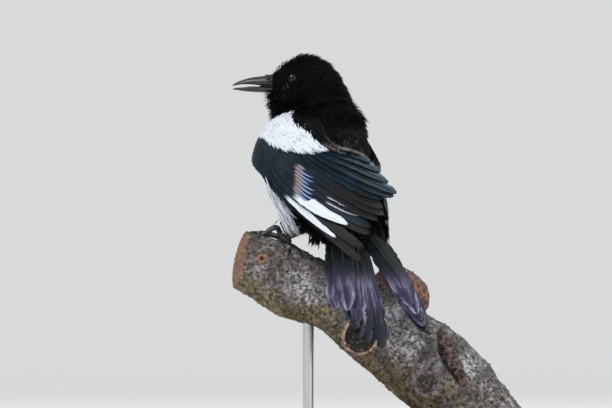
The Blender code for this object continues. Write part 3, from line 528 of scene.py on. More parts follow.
def blades(name, places, outward, lie, length, width, lift, curl, colours, tip_colours, uv):
    """Lay many small feathers as one mesh."""
    count = len(places)
    across = unit(np.cross(outward, lie))
    points = np.empty((count, BLADE_POINTS, 3))
    tint = np.empty((count, BLADE_POINTS, 3))
    patch = np.empty((count, BLADE_POINTS, 2))
    root = places - outward * ROOT_SINK

    def spine(share):
        rise = np.sin(lift) * share - curl * share ** 2
        return root + (lie * (np.cos(lift) * share)[:, None] + outward * rise[:, None]) * length[:, None]

    for ring, share in enumerate(RING_PLACES):
        first = ring * 3
        middle = spine(share)
        half = (width * RING_WIDTHS[ring] / 2.0)[:, None]
        points[:, first] = middle - across * half
        points[:, first + 1] = middle + across * half
        points[:, first + 2] = middle + outward * (half * RIDGE_SHARE + RIDGE_LEAST)
        tint[:, first:first + 3] = mix(colours, tip_colours, share ** 2)[:, None]
        for corner in range(3):
            patch[:, first + corner] = uv + PATCH * np.array((corner - 1.0, share * 2.0 - 1.0)) / 2.0
    points[:, -1] = spine(1.0)
    tint[:, -1] = tip_colours
    patch[:, -1] = uv + np.array((0.0, PATCH / 2.0))
    faces = np.arange(count)[:, None, None] * BLADE_POINTS + np.array(blade_faces)[None]
    made = mesh_object(name, points.reshape(-1, 3), faces.reshape(-1, 3), coat.material)
    store_colour(made, "tint", tint.reshape(-1, 3))
    store_uv(made, "OFBake", patch.reshape(-1, 2))
    settle(made, COAT_SLOT)
    print(name, "feathers:", count)


SIZE_SPREAD = (0.75, 1.25)
LIFT_SPREAD = 0.07
SHADE_SPREAD = (0.75, 1.35)
WHITE_SHADE = (0.85, 1.08)
BLACK_TIPS = 1.5              # times the blade's own colour


def value_at(rule, places):
    """A measure at each place: rule is a number or a function of the places."""
    return rule(places) if callable(rule) else np.full(len(places), rule)


def grow(name, density, length, width, lift, curl, sway=0.16, keep=None, tint=None):
    """Scatter blades over a part of the skin, with sizes from rules for their roots."""
    places, outward, uv = scatter(density)
    if keep is not None:
        kept = keep(places)
        places, outward, uv = places[kept], outward[kept], uv[kept]
    count = len(places)
    lie = lie_at(places, outward)
    lie = unit(lie + np.cross(outward, lie) * dice.normal(0.0, sway, count)[:, None])
    lengths = value_at(length, places) * dice.uniform(*SIZE_SPREAD, count)
    widths = value_at(width, places) * dice.uniform(*SIZE_SPREAD, count)
    lifts = value_at(lift, places) + dice.normal(0.0, LIFT_SPREAD, count)
    white = (dice.random(count) < marking(places)).astype(float)
    shade = dice.uniform(*SHADE_SPREAD, (count, 1))
    colours = mix(BLACK * shade, WHITE * np.clip(shade, *WHITE_SHADE), white)
    tips = colours * np.where(white[:, None] > 0.5, 1.0, BLACK_TIPS)
    if tint is not None:
        tips = tint(places, tips, white)
    blades(name, places, outward, lie, lengths, widths, lifts, curl, colours, tips, uv)


EYE_CLEARANCE = 4.9
BILL_EDGE = -75.0


def on_head(points):
    """Share of a point's belonging to the head."""
    return ease(238.0, 250.0, points[:, 2]) * (points[:, 0] < -12.0)


def clear_of_eyes(points):
    """True where no eye or bill is near."""
    return (eye_gap(points) > EYE_CLEARANCE) & (points[:, 0] > BILL_EDGE)


def head_density(points):
    """Feathers to a square millimetre on the head."""
    return on_head(points) * (1.5 + 1.4 * (1.0 - ease(-68.0, -45.0, points[:, 0])))


def head_length(points):
    """Short on the face, longer towards the nape and the throat."""
    low = 1.0 - ease(243.0, 262.0, points[:, 2])
    return 3.2 + 5.0 * ease(-72.0, -25.0, points[:, 0]) + 3.2 * low


def towards_nape(low, extra):
    """Rule for a measure that grows by an extra from the face to the nape."""
    return lambda points: low + extra * ease(-70.0, -30.0, points[:, 0])


def throat_share_at(points):
    """Share of a point's belonging to the loose throat."""
    return (1.0 - ease(250.0, 266.0, points[:, 2])) * (1.0 - ease(-56.0, -46.0, points[:, 0]))


def tuft_density(points):
    """Loose long feathers: many on the throat and the crown, none near the eyes."""
    high = ease(272.0, 281.0, points[:, 2]) + ease(-42.0, -28.0, points[:, 0])
    return on_head(points) * (0.25 + 0.75 * throat_share_at(points) + 0.35 * high)


def tuft_length(points):
    """Length of the loose feathers."""
    return 0.9 * head_length(points) + 1.5 + 4.5 * throat_share_at(points)


def tuft_lift(points):
    """How far the loose feathers stand out: most on the throat, then on the crown."""
    return 0.40 + 0.42 * throat_share_at(points) + 0.26 * ease(276.0, 284.0, points[:, 2])


def trunk_density(points):
    """Feathers to a square millimetre on the neck, trunk and thighs."""
    return (1.0 - on_head(points)) * 0.85


def trunk_length(points):
    """Longer and looser towards the belly and the vent."""
    return 8.5 + 3.0 * ease(10.0, 30.0, -to_trunk(points)[:, 2])


def worn_mantle(places, tips, white):
    """Grey tips on some feathers low on the mantle."""
    ahead, _, up = to_trunk(places).T
    worn = (1.0 - ease(-12.0, 16.0, ahead)) * (up > 20.0) * (dice.random(len(places)) < 0.35)
    return mix(tips, GREY_FRINGE * 0.8, worn * (1.0 - white))


def on_back(points):
    """True on the upper half of the neck and the trunk."""
    return to_trunk(points)[:, 2] > 0.0


grow("coat_head", head_density, head_length, towards_nape(0.55, 0.35), towards_nape(0.26, 0.08), 0.10,
     sway=0.24, keep=clear_of_eyes)
grow("coat_head_tufts", tuft_density, tuft_length, 0.55, tuft_lift, 0.16, sway=0.36, keep=clear_of_eyes)
for name, region in (("coat_back", on_back), ("coat_breast", lambda points: ~on_back(points))):
    grow(name, trunk_density, trunk_length, 1.6, 0.22, 0.14, keep=region, tint=worn_mantle)

# %% [markdown]
# Some feathers need set places, such as the long white ones that hang from the flanks over the thigh.
# Each still takes its patch of the map from the nearest bit of skin.

# %% Hanging tufts
PLACED_CURL = 0.12
FLANK = ((6, 36, -22), (-37, 27, -34))
VENT = ((-26, 25, -22), (-52, 18, -18))


def skin_uv_near(place):
    """The skin's map position nearest to a place."""
    triangle = skin_tree.find_nearest(Vector(place))[2]
    return skin_uv[skin_loops[triangle]].mean(axis=0)


def grow_at(name, places, outward, lie, length, width, lift, colours, tips):
    """Blades at given roots, with their patches taken from the nearest skin."""
    uv = np.array([skin_uv_near(place) for place in places])
    blades(name, places, outward, lie, length, value_at(width, places), value_at(lift, places),
           PLACED_CURL, colours, tips, uv)


def hanging_tuft(name, line, flip, count, spread, length, width, tone):
    """Loose feathers along a line in the trunk's frame, pointing along it."""
    start, end = to_world(line[0] * flip), to_world(line[1] * flip)
    share = dice.random(count) ** 1.4
    places = start + (end - start) * (share * 0.7)[:, None] + dice.normal(0.0, 1.0, (count, 3)) * spread
    outward = unit(places - TRUNK_MIDDLE - AHEAD * ((places - TRUNK_MIDDLE) @ AHEAD)[:, None])
    lie = unit(unit(end - start) + dice.normal(0.0, 0.10, (count, 3)))
    lie = unit(along_surface(lie, outward, 0.8))
    base = tone * dice.uniform(0.85, 1.05, (count, 1))
    grow_at(name, places, outward, lie, length * dice.uniform(0.6, 1.25, count),
            width * dice.uniform(0.7, 1.2, count), dice.normal(0.02, 0.08, count), base, base)


for side, turn in (("left", 1), ("right", -1)):
    flip = np.array((1, turn, 1))
    hanging_tuft(f"flank_{side}", FLANK, flip, 420, 2.4, 16.0, 1.7, WHITE)
    hanging_tuft(f"vent_{side}", VENT, flip, 520, 3.2, 9.5, 1.0, BLACK)

# %% [markdown]
# Stiff bristles lie forward from the forehead over the nostrils. They grow in an arc that follows the
# upper half of the bill's root.

# %% Bristles
BRISTLE_ROOT = np.array((-73.0, 32.0, 270.0))
BRISTLE_ARC = 2.0             # half of the arc, in radians from straight up
BRISTLES = 420
turn = dice.uniform(-BRISTLE_ARC, BRISTLE_ARC, BRISTLES)
ring_place = np.stack((dice.uniform(0.0, 4.5, BRISTLES), -np.sin(turn) * 5.0, np.cos(turn) * 4.4 - 3.6),
                      axis=1)
bristle_out = unit(np.stack((np.full(BRISTLES, -0.1), -np.sin(turn), np.cos(turn)), axis=1))
bristle_lie = unit(np.stack((np.full(BRISTLES, -1.0), dice.normal(0.0, 0.1, BRISTLES),
                             dice.normal(-0.16, 0.09, BRISTLES)), axis=1))
bristle_tint = BLACK * dice.uniform(0.8, 2.6, (BRISTLES, 1))
grow_at("bristles", BRISTLE_ROOT + ring_place, bristle_out, bristle_lie, dice.uniform(4.0, 8.5, BRISTLES),
        0.42, dice.normal(0.12, 0.08, BRISTLES), bristle_tint, bristle_tint * 2.0)

# %% [markdown]
# Wind and moulting leave the crown and the chin shaggy. Coarse tufts that stand up from the forehead
# and hang from the chin break the smooth outline there, which a finer coat alone would never do. A few
# hairs between the bill and the eye are painted pale, a painted highlight on the bristles.

# %% Crest, chin and lores
def crest_density(points):
    """Tufts to a square millimetre: only on the forehead and the crown."""
    forehead_line = 268.0 + 0.35 * (points[:, 0] - BILL_EDGE)
    return on_head(points) * 0.6 * ease(0.0, 6.0, points[:, 2] - forehead_line)


grow("coat_crest", crest_density, 5.6, 0.8, 0.66, 0.10, sway=0.5, keep=clear_of_eyes)

CHIN_TOP, CHIN_FOOT = np.array((-74.0, 32.0, 258.5)), np.array((-70.5, 32.0, 243.0))
CHIN_SPREAD = np.array((1.4, 3.2, 1.4))
CHIN_WAY = np.array((-0.62, 0.0, -0.78))
CHIN_TUFTS, CHIN_CLUMPS = 520, 14
chin_root = CHIN_TOP + (CHIN_FOOT - CHIN_TOP) * dice.random((CHIN_TUFTS, 1))
chin_root += dice.normal(0.0, 1.0, (CHIN_TUFTS, 3)) * CHIN_SPREAD
clump = dice.normal(0.0, 0.30, (CHIN_CLUMPS, 3))[dice.integers(0, CHIN_CLUMPS, CHIN_TUFTS)]
chin_way = unit(CHIN_WAY + clump + dice.normal(0.0, 0.10, (CHIN_TUFTS, 3)))
chin_tint = BLACK * dice.uniform(0.7, 1.4, (CHIN_TUFTS, 1))
grow_at("chin_tufts", chin_root, np.tile((-1.0, 0.0, 0.0), (CHIN_TUFTS, 1)), chin_way,
        dice.uniform(4.5, 8.5, CHIN_TUFTS), 0.75, dice.normal(0.0, 0.10, CHIN_TUFTS), chin_tint,
        chin_tint * 1.5)

# Places of the hairs as the viewer sees them; each is carried sideways onto the skin.
LORE_HAIRS = ((-66.0, 266.0), (-64.6, 265.5), (-63.4, 263.4), (-66.4, 262.6), (-67.2, 258.4), (-65.8, 256.6))
BESIDE = 200.0
hits = [skin_tree.ray_cast(Vector((x, side * BESIDE, z)), Vector((0.0, -side, 0.0)))
        for side in (-1.0, 1.0) for x, z in LORE_HAIRS]
lore_roots, lore_outward = (np.array([hit[part] for hit in hits]) for part in (0, 1))
lore_way = unit(np.array((0.25, 0.0, -1.0)) + dice.normal(0.0, 0.25, (len(hits), 3)) * (1.0, 0.2, 0.3))
# The pale colour of these hairs is a painted highlight.
lore_highlight_tint = np.tile(BLACK * 55.0, (len(hits), 1))
grow_at("lore_hairs", lore_roots, lore_outward, lore_way, dice.uniform(3.0, 4.6, len(hits)), 0.55, 0.55,
        lore_highlight_tint, lore_highlight_tint)

# %% [markdown]
# A wing is a curved sheet that wraps the bird's side. The table holds the solid model's own lines
# across it, and a smooth grid through them gives the place and the direction of every wing feather.

# %% Wing sheets
LEFT_WING = np.array((
    ((37, 30, -25), (24, 37, -25), (4, 40.5, -21), (-34, 39, -17), (-71, 34, -9)),
    ((45, 28, -16), (30, 38.5, -14), (2, 42.5, -12), (-48, 37.5, -8), (-101, 26, -1)),
    ((49, 26, -3), (32, 38, -3), (0, 42.5, -2), (-45, 36, 6), (-88, 22, 15)),
    ((46, 24, 10), (30, 35, 9), (-2, 39.5, 9), (-42, 30, 18), (-79, 12, 28)),
    ((40, 20, 21), (24, 29, 19), (-4, 33, 20), (-36, 20, 30), (-62, -1, 40)),
    ((30, 16, 30), (14, 24, 29), (-6, 26, 29), (-20, 9, 37), (-37, -4, 41))), float)
RIGHT_WING = np.array((
    ((34, -27, -27), (24, -36, -26), (4, -39, -21), (-34, -36, -18), (-72, -27, -14)),
    ((45, -28, -16), (30, -38, -14), (2, -41.5, -12), (-46, -34, -10), (-98, -18, -9)),
    ((49, -26, -3), (32, -37.5, -3), (0, -41.5, -2), (-45, -31, 3), (-88, -14, 1)),
    ((46, -24, 10), (30, -34, 9), (-2, -38.5, 9), (-40, -26, 14), (-76, -11, 12)),
    ((40, -20, 21), (24, -29, 19), (-4, -32, 20), (-34, -19, 24), (-60, -10, 21)),
    ((30, -16, 30), (14, -24, 29), (-6, -25, 28), (-20, -14, 30), (-38, -10, 29))), float)
SHEET_ROWS, SHEET_COLUMNS = 61, 81


def smooth_line(keys, count):
    """Smooth curve through keys along their first axis, read at even steps."""
    spans = len(keys) - 1
    place = np.linspace(0.0, spans, count)
    span = np.minimum(place.astype(int), spans - 1)
    local = (place - span).reshape((-1,) + (1,) * (keys.ndim - 1))
    before, start = keys[np.maximum(span - 1, 0)], keys[span]
    end, after = keys[span + 1], keys[np.minimum(span + 2, spans)]
    return 0.5 * (2 * start + (end - before) * local + (2 * before - 5 * start + 4 * end - after) * local ** 2
                  + (3 * start - before - 3 * end + after) * local ** 3)


class Sheet:
    """A curved surface that is read by row and column, each from 0 to 1."""

    def __init__(self, keys, outward):
        rows = smooth_line(keys, SHEET_ROWS)
        grid = smooth_line(np.swapaxes(rows, 0, 1), SHEET_COLUMNS).swapaxes(0, 1)
        self.points = to_world(grid)
        self.over = np.gradient(self.points, 1.0 / (SHEET_ROWS - 1), axis=0)
        self.back = np.gradient(self.points, 1.0 / (SHEET_COLUMNS - 1), axis=1)
        normals = unit(np.cross(self.over, self.back))
        self.normals = normals * np.sign((normals * outward).sum(axis=2, keepdims=True))

    def read(self, grid, row, column):
        """Value of a grid between its points."""
        down = np.clip(row, 0, 1) * (SHEET_ROWS - 1)
        along = np.clip(column, 0, 1) * (SHEET_COLUMNS - 1)
        top = np.minimum(down.astype(int), SHEET_ROWS - 2)
        side = np.minimum(along.astype(int), SHEET_COLUMNS - 2)
        down, along = (down - top)[..., None], (along - side)[..., None]
        return (grid[top, side] * (1 - down) * (1 - along) + grid[top + 1, side] * down * (1 - along)
                + grid[top, side + 1] * (1 - down) * along + grid[top + 1, side + 1] * down * along)

    def at(self, row, column):
        """Point, outward normal, unit step towards the next row and the sheet's height there."""
        normal = unit(self.read(self.normals, row, column))
        over = self.read(self.over, row, column)
        height = np.linalg.norm(over, axis=-1)
        return self.read(self.points, row, column), normal, unit(along_surface(over, normal)), height


left_sheet = Sheet(LEFT_WING, UP * 0.8 + LEFT)
right_sheet = Sheet(RIGHT_WING, UP * 0.8 - LEFT)
print("left wing spans", np.round(np.ptp(left_sheet.points.reshape(-1, 3), axis=0)), "mm")

# %% [markdown]
# A flight feather is a thin vane on a horny shaft. Its edge is not even: the barbs part here and
# there, so small notches are cut into it. The vane's own UV map runs along and across it, which lets
# one material paint white webs, dark edges and the fine barbs on every feather.

# %% Vanes
VANE_THICK = 0.35
VANE_COLUMNS = 11
SHAFT_REACH = 0.94            # of the vane's length
SHAFT_HALF, SHAFT_TIP = 0.040, 0.25    # of the vane's width, and of the shaft's at its root
SHAFT_RISE = 0.12
KIND_PARTS = ("white_web", "shaft", "wear", "bar", "teal", "white_edge")


def kind_of(**shares):
    """What a vane shows, as one share for each part of the finish."""
    return tuple(shares.get(part, 0.0) for part in KIND_PARTS)


DARK, SHAFT, PALE_SHAFT = kind_of(), kind_of(shaft=1.0), kind_of(white_web=1.0, shaft=0.3)
WHITE_WEB, WORN, BAR = kind_of(white_web=1.0), kind_of(wear=1.0), kind_of(bar=1.0)
TEAL_HIGHLIGHT, PALE_EDGE = kind_of(teal=1.0), kind_of(wear=0.6, white_edge=1.0)


class Plumage:
    """Collects many vanes and turns them into one mesh."""

    def __init__(self, cells):
        self.points, self.faces, self.along, self.cell_uv = [], [], [], []
        self.kind = []
        self.cells = cells
        self.count = 0
        self.total = 0

    def add(self, top, bottom, along, across, kind):
        """Add a closed vane between two grids of points."""
        stations, width = top.shape[:2]
        face = stations * width
        both = np.concatenate((top.reshape(-1, 3), bottom.reshape(-1, 3)))
        index = np.arange(face).reshape(stations, width)
        upper = np.stack((index[:-1, :-1], index[1:, :-1], index[1:, 1:], index[:-1, 1:]), -1).reshape(-1, 4)
        rim = np.concatenate((index[0, :], index[1:, -1], index[-1, -2::-1], index[-2:0:-1, 0]))
        after = np.roll(rim, -1)
        walls = np.stack((rim, after, after + face, rim + face), -1)
        self.faces.append(np.concatenate((upper, upper[:, ::-1] + face, walls)) + self.total)
        self.points.append(both)
        flat = np.stack((across.ravel(), along.ravel()), -1)
        self.along.append(np.concatenate((flat, flat)))
        self.kind.append(np.tile(kind, (len(both), 1)))
        size = 1.0 / self.cells
        corner = np.array((self.count % self.cells, self.count // self.cells)) * size
        cell = (flat * 0.9 + 0.05) * size * np.array((0.5, 1.0)) + corner
        self.cell_uv.append(np.concatenate((cell, cell + np.array((size * 0.5, 0.0)))))
        self.count += 1
        self.total += len(both)

    def build(self, name, material, slot, *nodes):
        """Make the mesh with its maps, all faces outward."""
        made = mesh_object(name, np.concatenate(self.points), np.concatenate(self.faces), material)
        shape = bmesh.new()
        shape.from_mesh(made.data)
        bmesh.ops.recalc_face_normals(shape, faces=shape.faces)
        shape.to_mesh(made.data)
        shape.free()
        store_uv(made, "vane", np.concatenate(self.along))
        store_uv(made, "OFBake", np.concatenate(self.cell_uv))
        kinds = np.concatenate(self.kind)
        store_colour(made, "kind", kinds[:, :3])
        store_colour(made, "shine", kinds[:, 3:])
        settle(made, slot, *nodes)
        print(name, "vanes:", self.count, "points:", self.total)
        return made


def vane_breadth(share, blunt):
    """Half width of a vane along its length: narrow root, long even middle, round or pointed tip."""
    root = 0.42 + 0.58 * ease(0.0, 0.35, share)
    power = 0.5 if blunt > 0.65 else 0.85
    tip = np.clip(1.0 - np.clip((share - blunt) / (1.0 - blunt), 0.0, 1.0) ** 2, 0.0, 1.0) ** power
    return root * np.maximum(tip, 0.05)


def edge_notches(stations, deep):
    """Share of the half width left at each station where barbs have parted."""
    cut = np.zeros(stations)
    for start in dice.integers(stations // 5, stations - 2, 5):
        cut[start] = max(cut[start], dice.uniform(0.2, 1.0) * deep)
        cut[start - 1] = max(cut[start - 1], cut[start] * 0.35)
    return 1.0 - cut - dice.uniform(0.0, deep * 0.15, stations)


def lay_body(plumage, share, point, normal, across, width, kind, shaft=0.0, blunt=0.7, frays=(1.0, 1.0),
             worn=1.0, crown=(0.55, 4.0), slope=0.0, lift=-0.3):
    """A closed, arched vane with its shaft, along a line of points with their own directions."""
    half = vane_breadth(share, blunt) * width / 2.0
    side = np.linspace(-1.0, 1.0, VANE_COLUMNS)
    inner, outer = (edge_notches(len(share), fray)[:, None] for fray in frays)
    notch = 1.0 - (1.0 - np.where(side < 0, inner, outer)) * worn
    fade = np.abs(side) ** 3
    reach = side * half[:, None] * (1.0 - fade + fade * notch)
    height, full = crown
    arch = height * (1.0 - ((side - shaft) / (1.0 + abs(shaft))) ** 2)
    rise = arch * np.minimum(half, full)[:, None] / full - reach * slope + lift
    top = point[:, None] + across[:, None] * reach[..., None] + normal[:, None] * rise[..., None]
    if kind is None:
        kind = kind_of(wear=dice.random())
    plumage.add(top, top - normal[:, None] * VANE_THICK, np.repeat(share[:, None], VANE_COLUMNS, 1),
                np.repeat((side[None] + 1.0) / 2.0, len(share), 0), kind)
    lay_shaft(plumage, top, shaft, normal, across, width, PALE_SHAFT if kind == WHITE_WEB else SHAFT)


def lay_shaft(plumage, top, shaft, normal, across, width, kind):
    """The horny shaft as a slim ridge on the vane."""
    spot = np.clip((shaft + 1.0) / 2.0 * (VANE_COLUMNS - 1), 0, VANE_COLUMNS - 1.001)
    low = int(spot)
    count = int(len(top) * SHAFT_REACH)
    top, normal, across = top[:count], normal[:count], across[:count]
    line = top[:, low] * (1 - (spot - low)) + top[:, low + 1] * (spot - low) + normal * SHAFT_RISE
    half = (SHAFT_HALF * width * np.linspace(1.0, SHAFT_TIP, count))[:, None]
    rim = np.stack((line - across * half, line + normal * (half * 0.9 + 0.05), line + across * half), axis=1)
    plumage.add(rim, rim - normal[:, None] * VANE_THICK * 1.2,
                np.repeat(np.linspace(0, SHAFT_REACH, count)[:, None], 3, 1),
                np.full((count, 3), (shaft + 1.0) / 2.0), kind)


def lay_vane(plumage, sheet, row, row_end, root, end, width, lift, kind, step=0.9, pitch_rows=0.07,
             shaft=-0.35, blunt=0.8, stations=34, fray=0.22):
    """One feather on a wing sheet, tilted so that the next one lies over its inner edge."""
    share = np.linspace(0.0, 1.0, stations)
    rows = row + (row_end - row) * share ** 1.2
    point, normal, across, pitch = sheet.at(rows, root + (end - root) * share)
    slope = step / np.maximum(pitch * pitch_rows, 2.5)
    lay_body(plumage, share, point, normal, across, width, kind, shaft, blunt, (fray * 0.5, fray),
             crown=(0.34, 3.5), slope=slope[:, None], lift=lift)


# %% [markdown]
# The wing's own skin is a thin dark body under the feathers. It closes every chink between them, as
# the down and the covert bases do on a living bird.

# %% Wings
CORE_END = 0.6
CORE_STEPS = 25
CORE_DEPTH, CORE_THIN, CORE_SWELL = 1.6, 2.4, 1.6


def wing_core(sheet):
    """Thin closed body just under the wing's feathers."""
    row, share = np.meshgrid(np.linspace(0.02, 0.98, CORE_STEPS), np.linspace(0.0, 1.0, CORE_STEPS),
                             indexing="ij")
    point, normal, _, _ = sheet.at(row, share * CORE_END)
    plumage = Plumage(1)
    depth = CORE_THIN + CORE_SWELL * (1.0 - share)
    plumage.add(point - normal * CORE_DEPTH, point - normal * depth[..., None], share, row, DARK)
    return plumage


wing_core_finish = Finish("wing_core", roughness=0.7, base_color=(0.004, 0.005, 0.007, 1.0))
wing_core_finish.scuff(0.6, 0.2, 300.0)

# Flight feathers: row at the root, row at the tip, root, end, width, lift, kind.
FLIGHT = (
    (0.02, 0.02, 0.36, 0.90, 8.0, -0.6, DARK), (0.06, 0.08, 0.36, 0.93, 8.5, -0.6, WORN),
    (0.10, 0.14, 0.36, 0.97, 9.0, -0.6, DARK), (0.14, 0.22, 0.36, 1.00, 9.5, -0.6, WORN),
    (0.165, 0.215, 0.44, 0.868, 14.0, 0.45, WHITE_WEB), (0.22, 0.31, 0.36, 0.98, 10.0, -0.5, WORN),
    (0.245, 0.365, 0.44, 0.888, 15.5, 0.7, WHITE_WEB), (0.30, 0.41, 0.36, 0.99, 10.5, -0.3, WORN),
    (0.36, 0.46, 0.36, 0.97, 11.0, -0.3, DARK), (0.385, 0.485, 0.36, 0.890, 11.0, -0.1, PALE_EDGE),
    (0.46, 0.55, 0.36, 0.97, 11.5, -0.3, WORN), (0.465, 0.515, 0.36, 0.875, 10.0, 0.0, PALE_EDGE),
    (0.55, 0.62, 0.36, 0.98, 12.5, -0.4, WORN), (0.61, 0.66, 0.36, 0.95, 12.0, -0.4, WORN),
    (0.67, 0.72, 0.36, 0.92, 13.0, -0.4, DARK), (0.73, 0.78, 0.36, 0.97, 13.5, -0.4, DARK),
    (0.79, 0.83, 0.36, 1.00, 14.0, -0.4, TEAL_HIGHLIGHT), (0.85, 0.89, 0.36, 0.95, 14.0, -0.4, TEAL_HIGHLIGHT),
    (0.91, 0.95, 0.36, 0.90, 14.0, -0.4, TEAL_HIGHLIGHT), (0.97, 1.00, 0.36, 0.84, 12.0, -0.4, DARK),
)
# Coverts over the white webs, their edges painted with a pale blue sheen: row at the root, row at the tip,
# end.
BARS = ((0.25, 0.275, 0.715), (0.285, 0.31, 0.725), (0.32, 0.345, 0.72), (0.355, 0.38, 0.71),
        (0.39, 0.415, 0.70), (0.425, 0.45, 0.685), (0.46, 0.485, 0.67), (0.495, 0.52, 0.65))
BAR_LENGTH = 0.30
# Tiers of coverts: root, end, count, width, lift. The first lies under the bars, the others over them.
TIERS = ((0.30, 0.58, 17, 8.5, 0.4), (0.24, 0.50, 18, 8.0, 1.0), (0.16, 0.40, 19, 7.5, 1.3),
         (0.09, 0.30, 19, 7.0, 1.45), (0.03, 0.21, 19, 6.5, 1.5), (0.0, 0.13, 18, 6.0, 1.4))
TIER_FIRST, TIER_LAST = 0.02, 0.98


def vane_wires(finish, slant_from, slant, barb_count):
    """Across and along the vane, six shares of its kind, nearness to its edge and its fine barbs."""
    across, along, _ = finish.split("XYZ", finish.node("UVMap", {"uv_map": "vane"}))
    kinds = [part for name in ("kind", "shine") for part in finish.split("Color", finish.attribute(name))]
    barbs = ((along * barb_count + abs(across - slant_from) * slant) * 3.1).sine()
    return across, along, kinds, abs(across - 0.5) * 2.0, barbs


wing_finish = Finish("wing_feathers", gloss=0.14, roughness=0.36)
across, along, kinds, edge_gap, barbs = vane_wires(wing_finish, 0.4, -26.0, 190.0)
white_kind, shaft_kind, worn_kind, bar_kind, teal_kind, pale_kind = kinds
step, blend = wing_finish.step, wing_finish.blend
cloud = wing_finish.grain(90.0, 3.0)
wisp = wing_finish.grain(160.0, 4.0)
web = 1.0 - step(0.80, 0.94, edge_gap + (wisp - 0.5) * 0.25)
web = web * (1.0 - step(0.96, 0.99, along)) * step(0.44, 0.53, along) * white_kind
colour = blend(step(0.35, 0.7, cloud), (0.0012, 0.0056, 0.0110), (0.0018, 0.0150, 0.0290))
colour = blend(worn_kind * step(0.35, 0.8, along), colour, (0.0065, 0.0056, 0.0060))
fringe = step(0.84, 0.97, edge_gap) * step(0.5, 0.8, along)
colour = blend(fringe * 0.3, colour, (0.035, 0.036, 0.040))
# Painted highlight: a teal streak near the tips of the upper flight feathers stands for their gloss.
teal = step(0.62, 0.80, across) * step(0.66, 0.74, along)
teal = teal * (1.0 - step(0.90, 0.97, along)) * teal_kind * step(0.38, 0.62, wisp)
colour = blend(teal, colour, (0.05, 0.24, 0.36))
# Painted sheen: a pale blue stripe along one edge of each bar covert.
sheen_stripe = (1.0 - step(0.16, 0.27, across)) * step(0.0, 0.05, across)
bar_colour = blend(sheen_stripe, (0.007, 0.012, 0.028), (0.17, 0.27, 0.47))
bar_colour = blend(1.0 - step(0.76, 0.84, along), bar_colour, (0.20, 0.17, 0.18))
colour = blend(bar_kind * step(0.64, 0.72, along + (wisp - 0.5) * 0.14), colour, bar_colour)
web = web + pale_kind * step(0.76, 0.80, along) * (0.8 - step(0.07, 0.12, across) * 0.8)
colour = blend(web, colour, WHITE)
wing_finish.paint(shaft_kind * (1.0 - web), colour, (0.010, 0.010, 0.012))
matt = step(0.78, 0.96, edge_gap) * 0.45
wing_finish.feed("Roughness", wing_finish.grain(500.0, 2.0) * 0.14 + (0.34 + web * 0.2 + matt))
wing_finish.bump(barbs * 0.5 + cloud, 0.0001, 0.5)


def coverts(plumage, sheet, tier_root, tier_end, count, width, lift):
    """One tier of coverts, laid over the flight feathers' roots."""
    span = TIER_LAST - TIER_FIRST
    for index in range(count):
        row = TIER_FIRST + span * (index + 0.5) / count
        end = tier_end + dice.uniform(-0.02, 0.02)
        lay_vane(plumage, sheet, row, min(row + 0.03, 1.0), tier_root, end, width * dice.uniform(0.92, 1.08),
                 lift, DARK, step=0.45, pitch_rows=span / count, shaft=-0.05, blunt=0.62, stations=16,
                 fray=0.2)


def dress_wing(sheet, name, node):
    """All vanes of one wing."""
    plumage = Plumage(13)
    for feather in FLIGHT:
        slim = feather[-1] == WHITE_WEB
        lay_vane(plumage, sheet, *feather, shaft=-0.45 if slim else -0.3, fray=0.10 if slim else 0.35,
                 blunt=0.5 if slim else 0.68 + 0.1 * (feather[0] > 0.6))
    coverts(plumage, sheet, *TIERS[0])
    for row, row_end, end in BARS:
        lay_vane(plumage, sheet, row, row_end, end - BAR_LENGTH, end, 7.0, 0.8, BAR, step=0.5,
                 pitch_rows=0.040, stations=22, fray=0.12)
    for tier in TIERS[1:]:
        coverts(plumage, sheet, *tier)
    return plumage.build(name, wing_finish.material, "plumage_blue", node)


for sheet, name in ((left_sheet, "wing_core_left"), (right_sheet, "wing_core_right")):
    wing_core(sheet).build(name, wing_core_finish.material, "plumage_blue")
left_wing = dress_wing(left_sheet, "wing_feathers_left", "wing_left")
right_wing = dress_wing(right_sheet, "wing_feathers_right", "wing_right")

# %% [markdown]
# The white shoulder feathers and the last of the black mantle lie on top of the folded wing. Their
# outlines are drawn as rows and columns of the wing's sheet, so both sides of the bird get the same.

# %% Shoulder patch and mantle over the wings
SHOULDER_EDGE = ((0.26, 0.06), (0.40, 0.0), (0.66, 0.0), (0.73, 0.15), (0.74, 0.29), (0.78, 0.325),
                 (0.83, 0.31), (0.865, 0.42), (0.885, 0.565), (0.77, 0.56), (0.60, 0.50), (0.50, 0.455),
                 (0.38, 0.36), (0.31, 0.24))
MANTLE_EDGE = ((0.64, 0.0), (0.71, 0.16), (0.73, 0.30), (0.80, 0.31), (0.86, 0.42), (0.88, 0.56),
               (0.93, 0.66), (1.0, 0.76), (1.0, 0.0))
TRIES = 9000                  # random roots on the sheet, before the outline cuts them down
ROOT_ABOVE, ROOT_SEARCH = 9.0, 16.0


def inside(edge, row, column):
    """True where points lie inside a closed outline."""
    crossings = np.zeros(len(row), int)
    for (row_a, column_a), (row_b, column_b) in zip(edge, edge[1:] + edge[:1]):
        spans = (column_a > column) != (column_b > column)
        slope = (row_b - row_a) / (column_b - column_a if column_b != column_a else 1.0)
        crossings += spans & (row < row_a + (column - column_a) * slope)
    return crossings % 2 == 1


def tree_of(thing):
    """Search tree over an object's faces, in millimetres."""
    faces = [tuple(face.vertices) for face in thing.data.polygons]
    return BVHTree.FromPolygons([Vector(point) for point in points_of(thing)], faces)


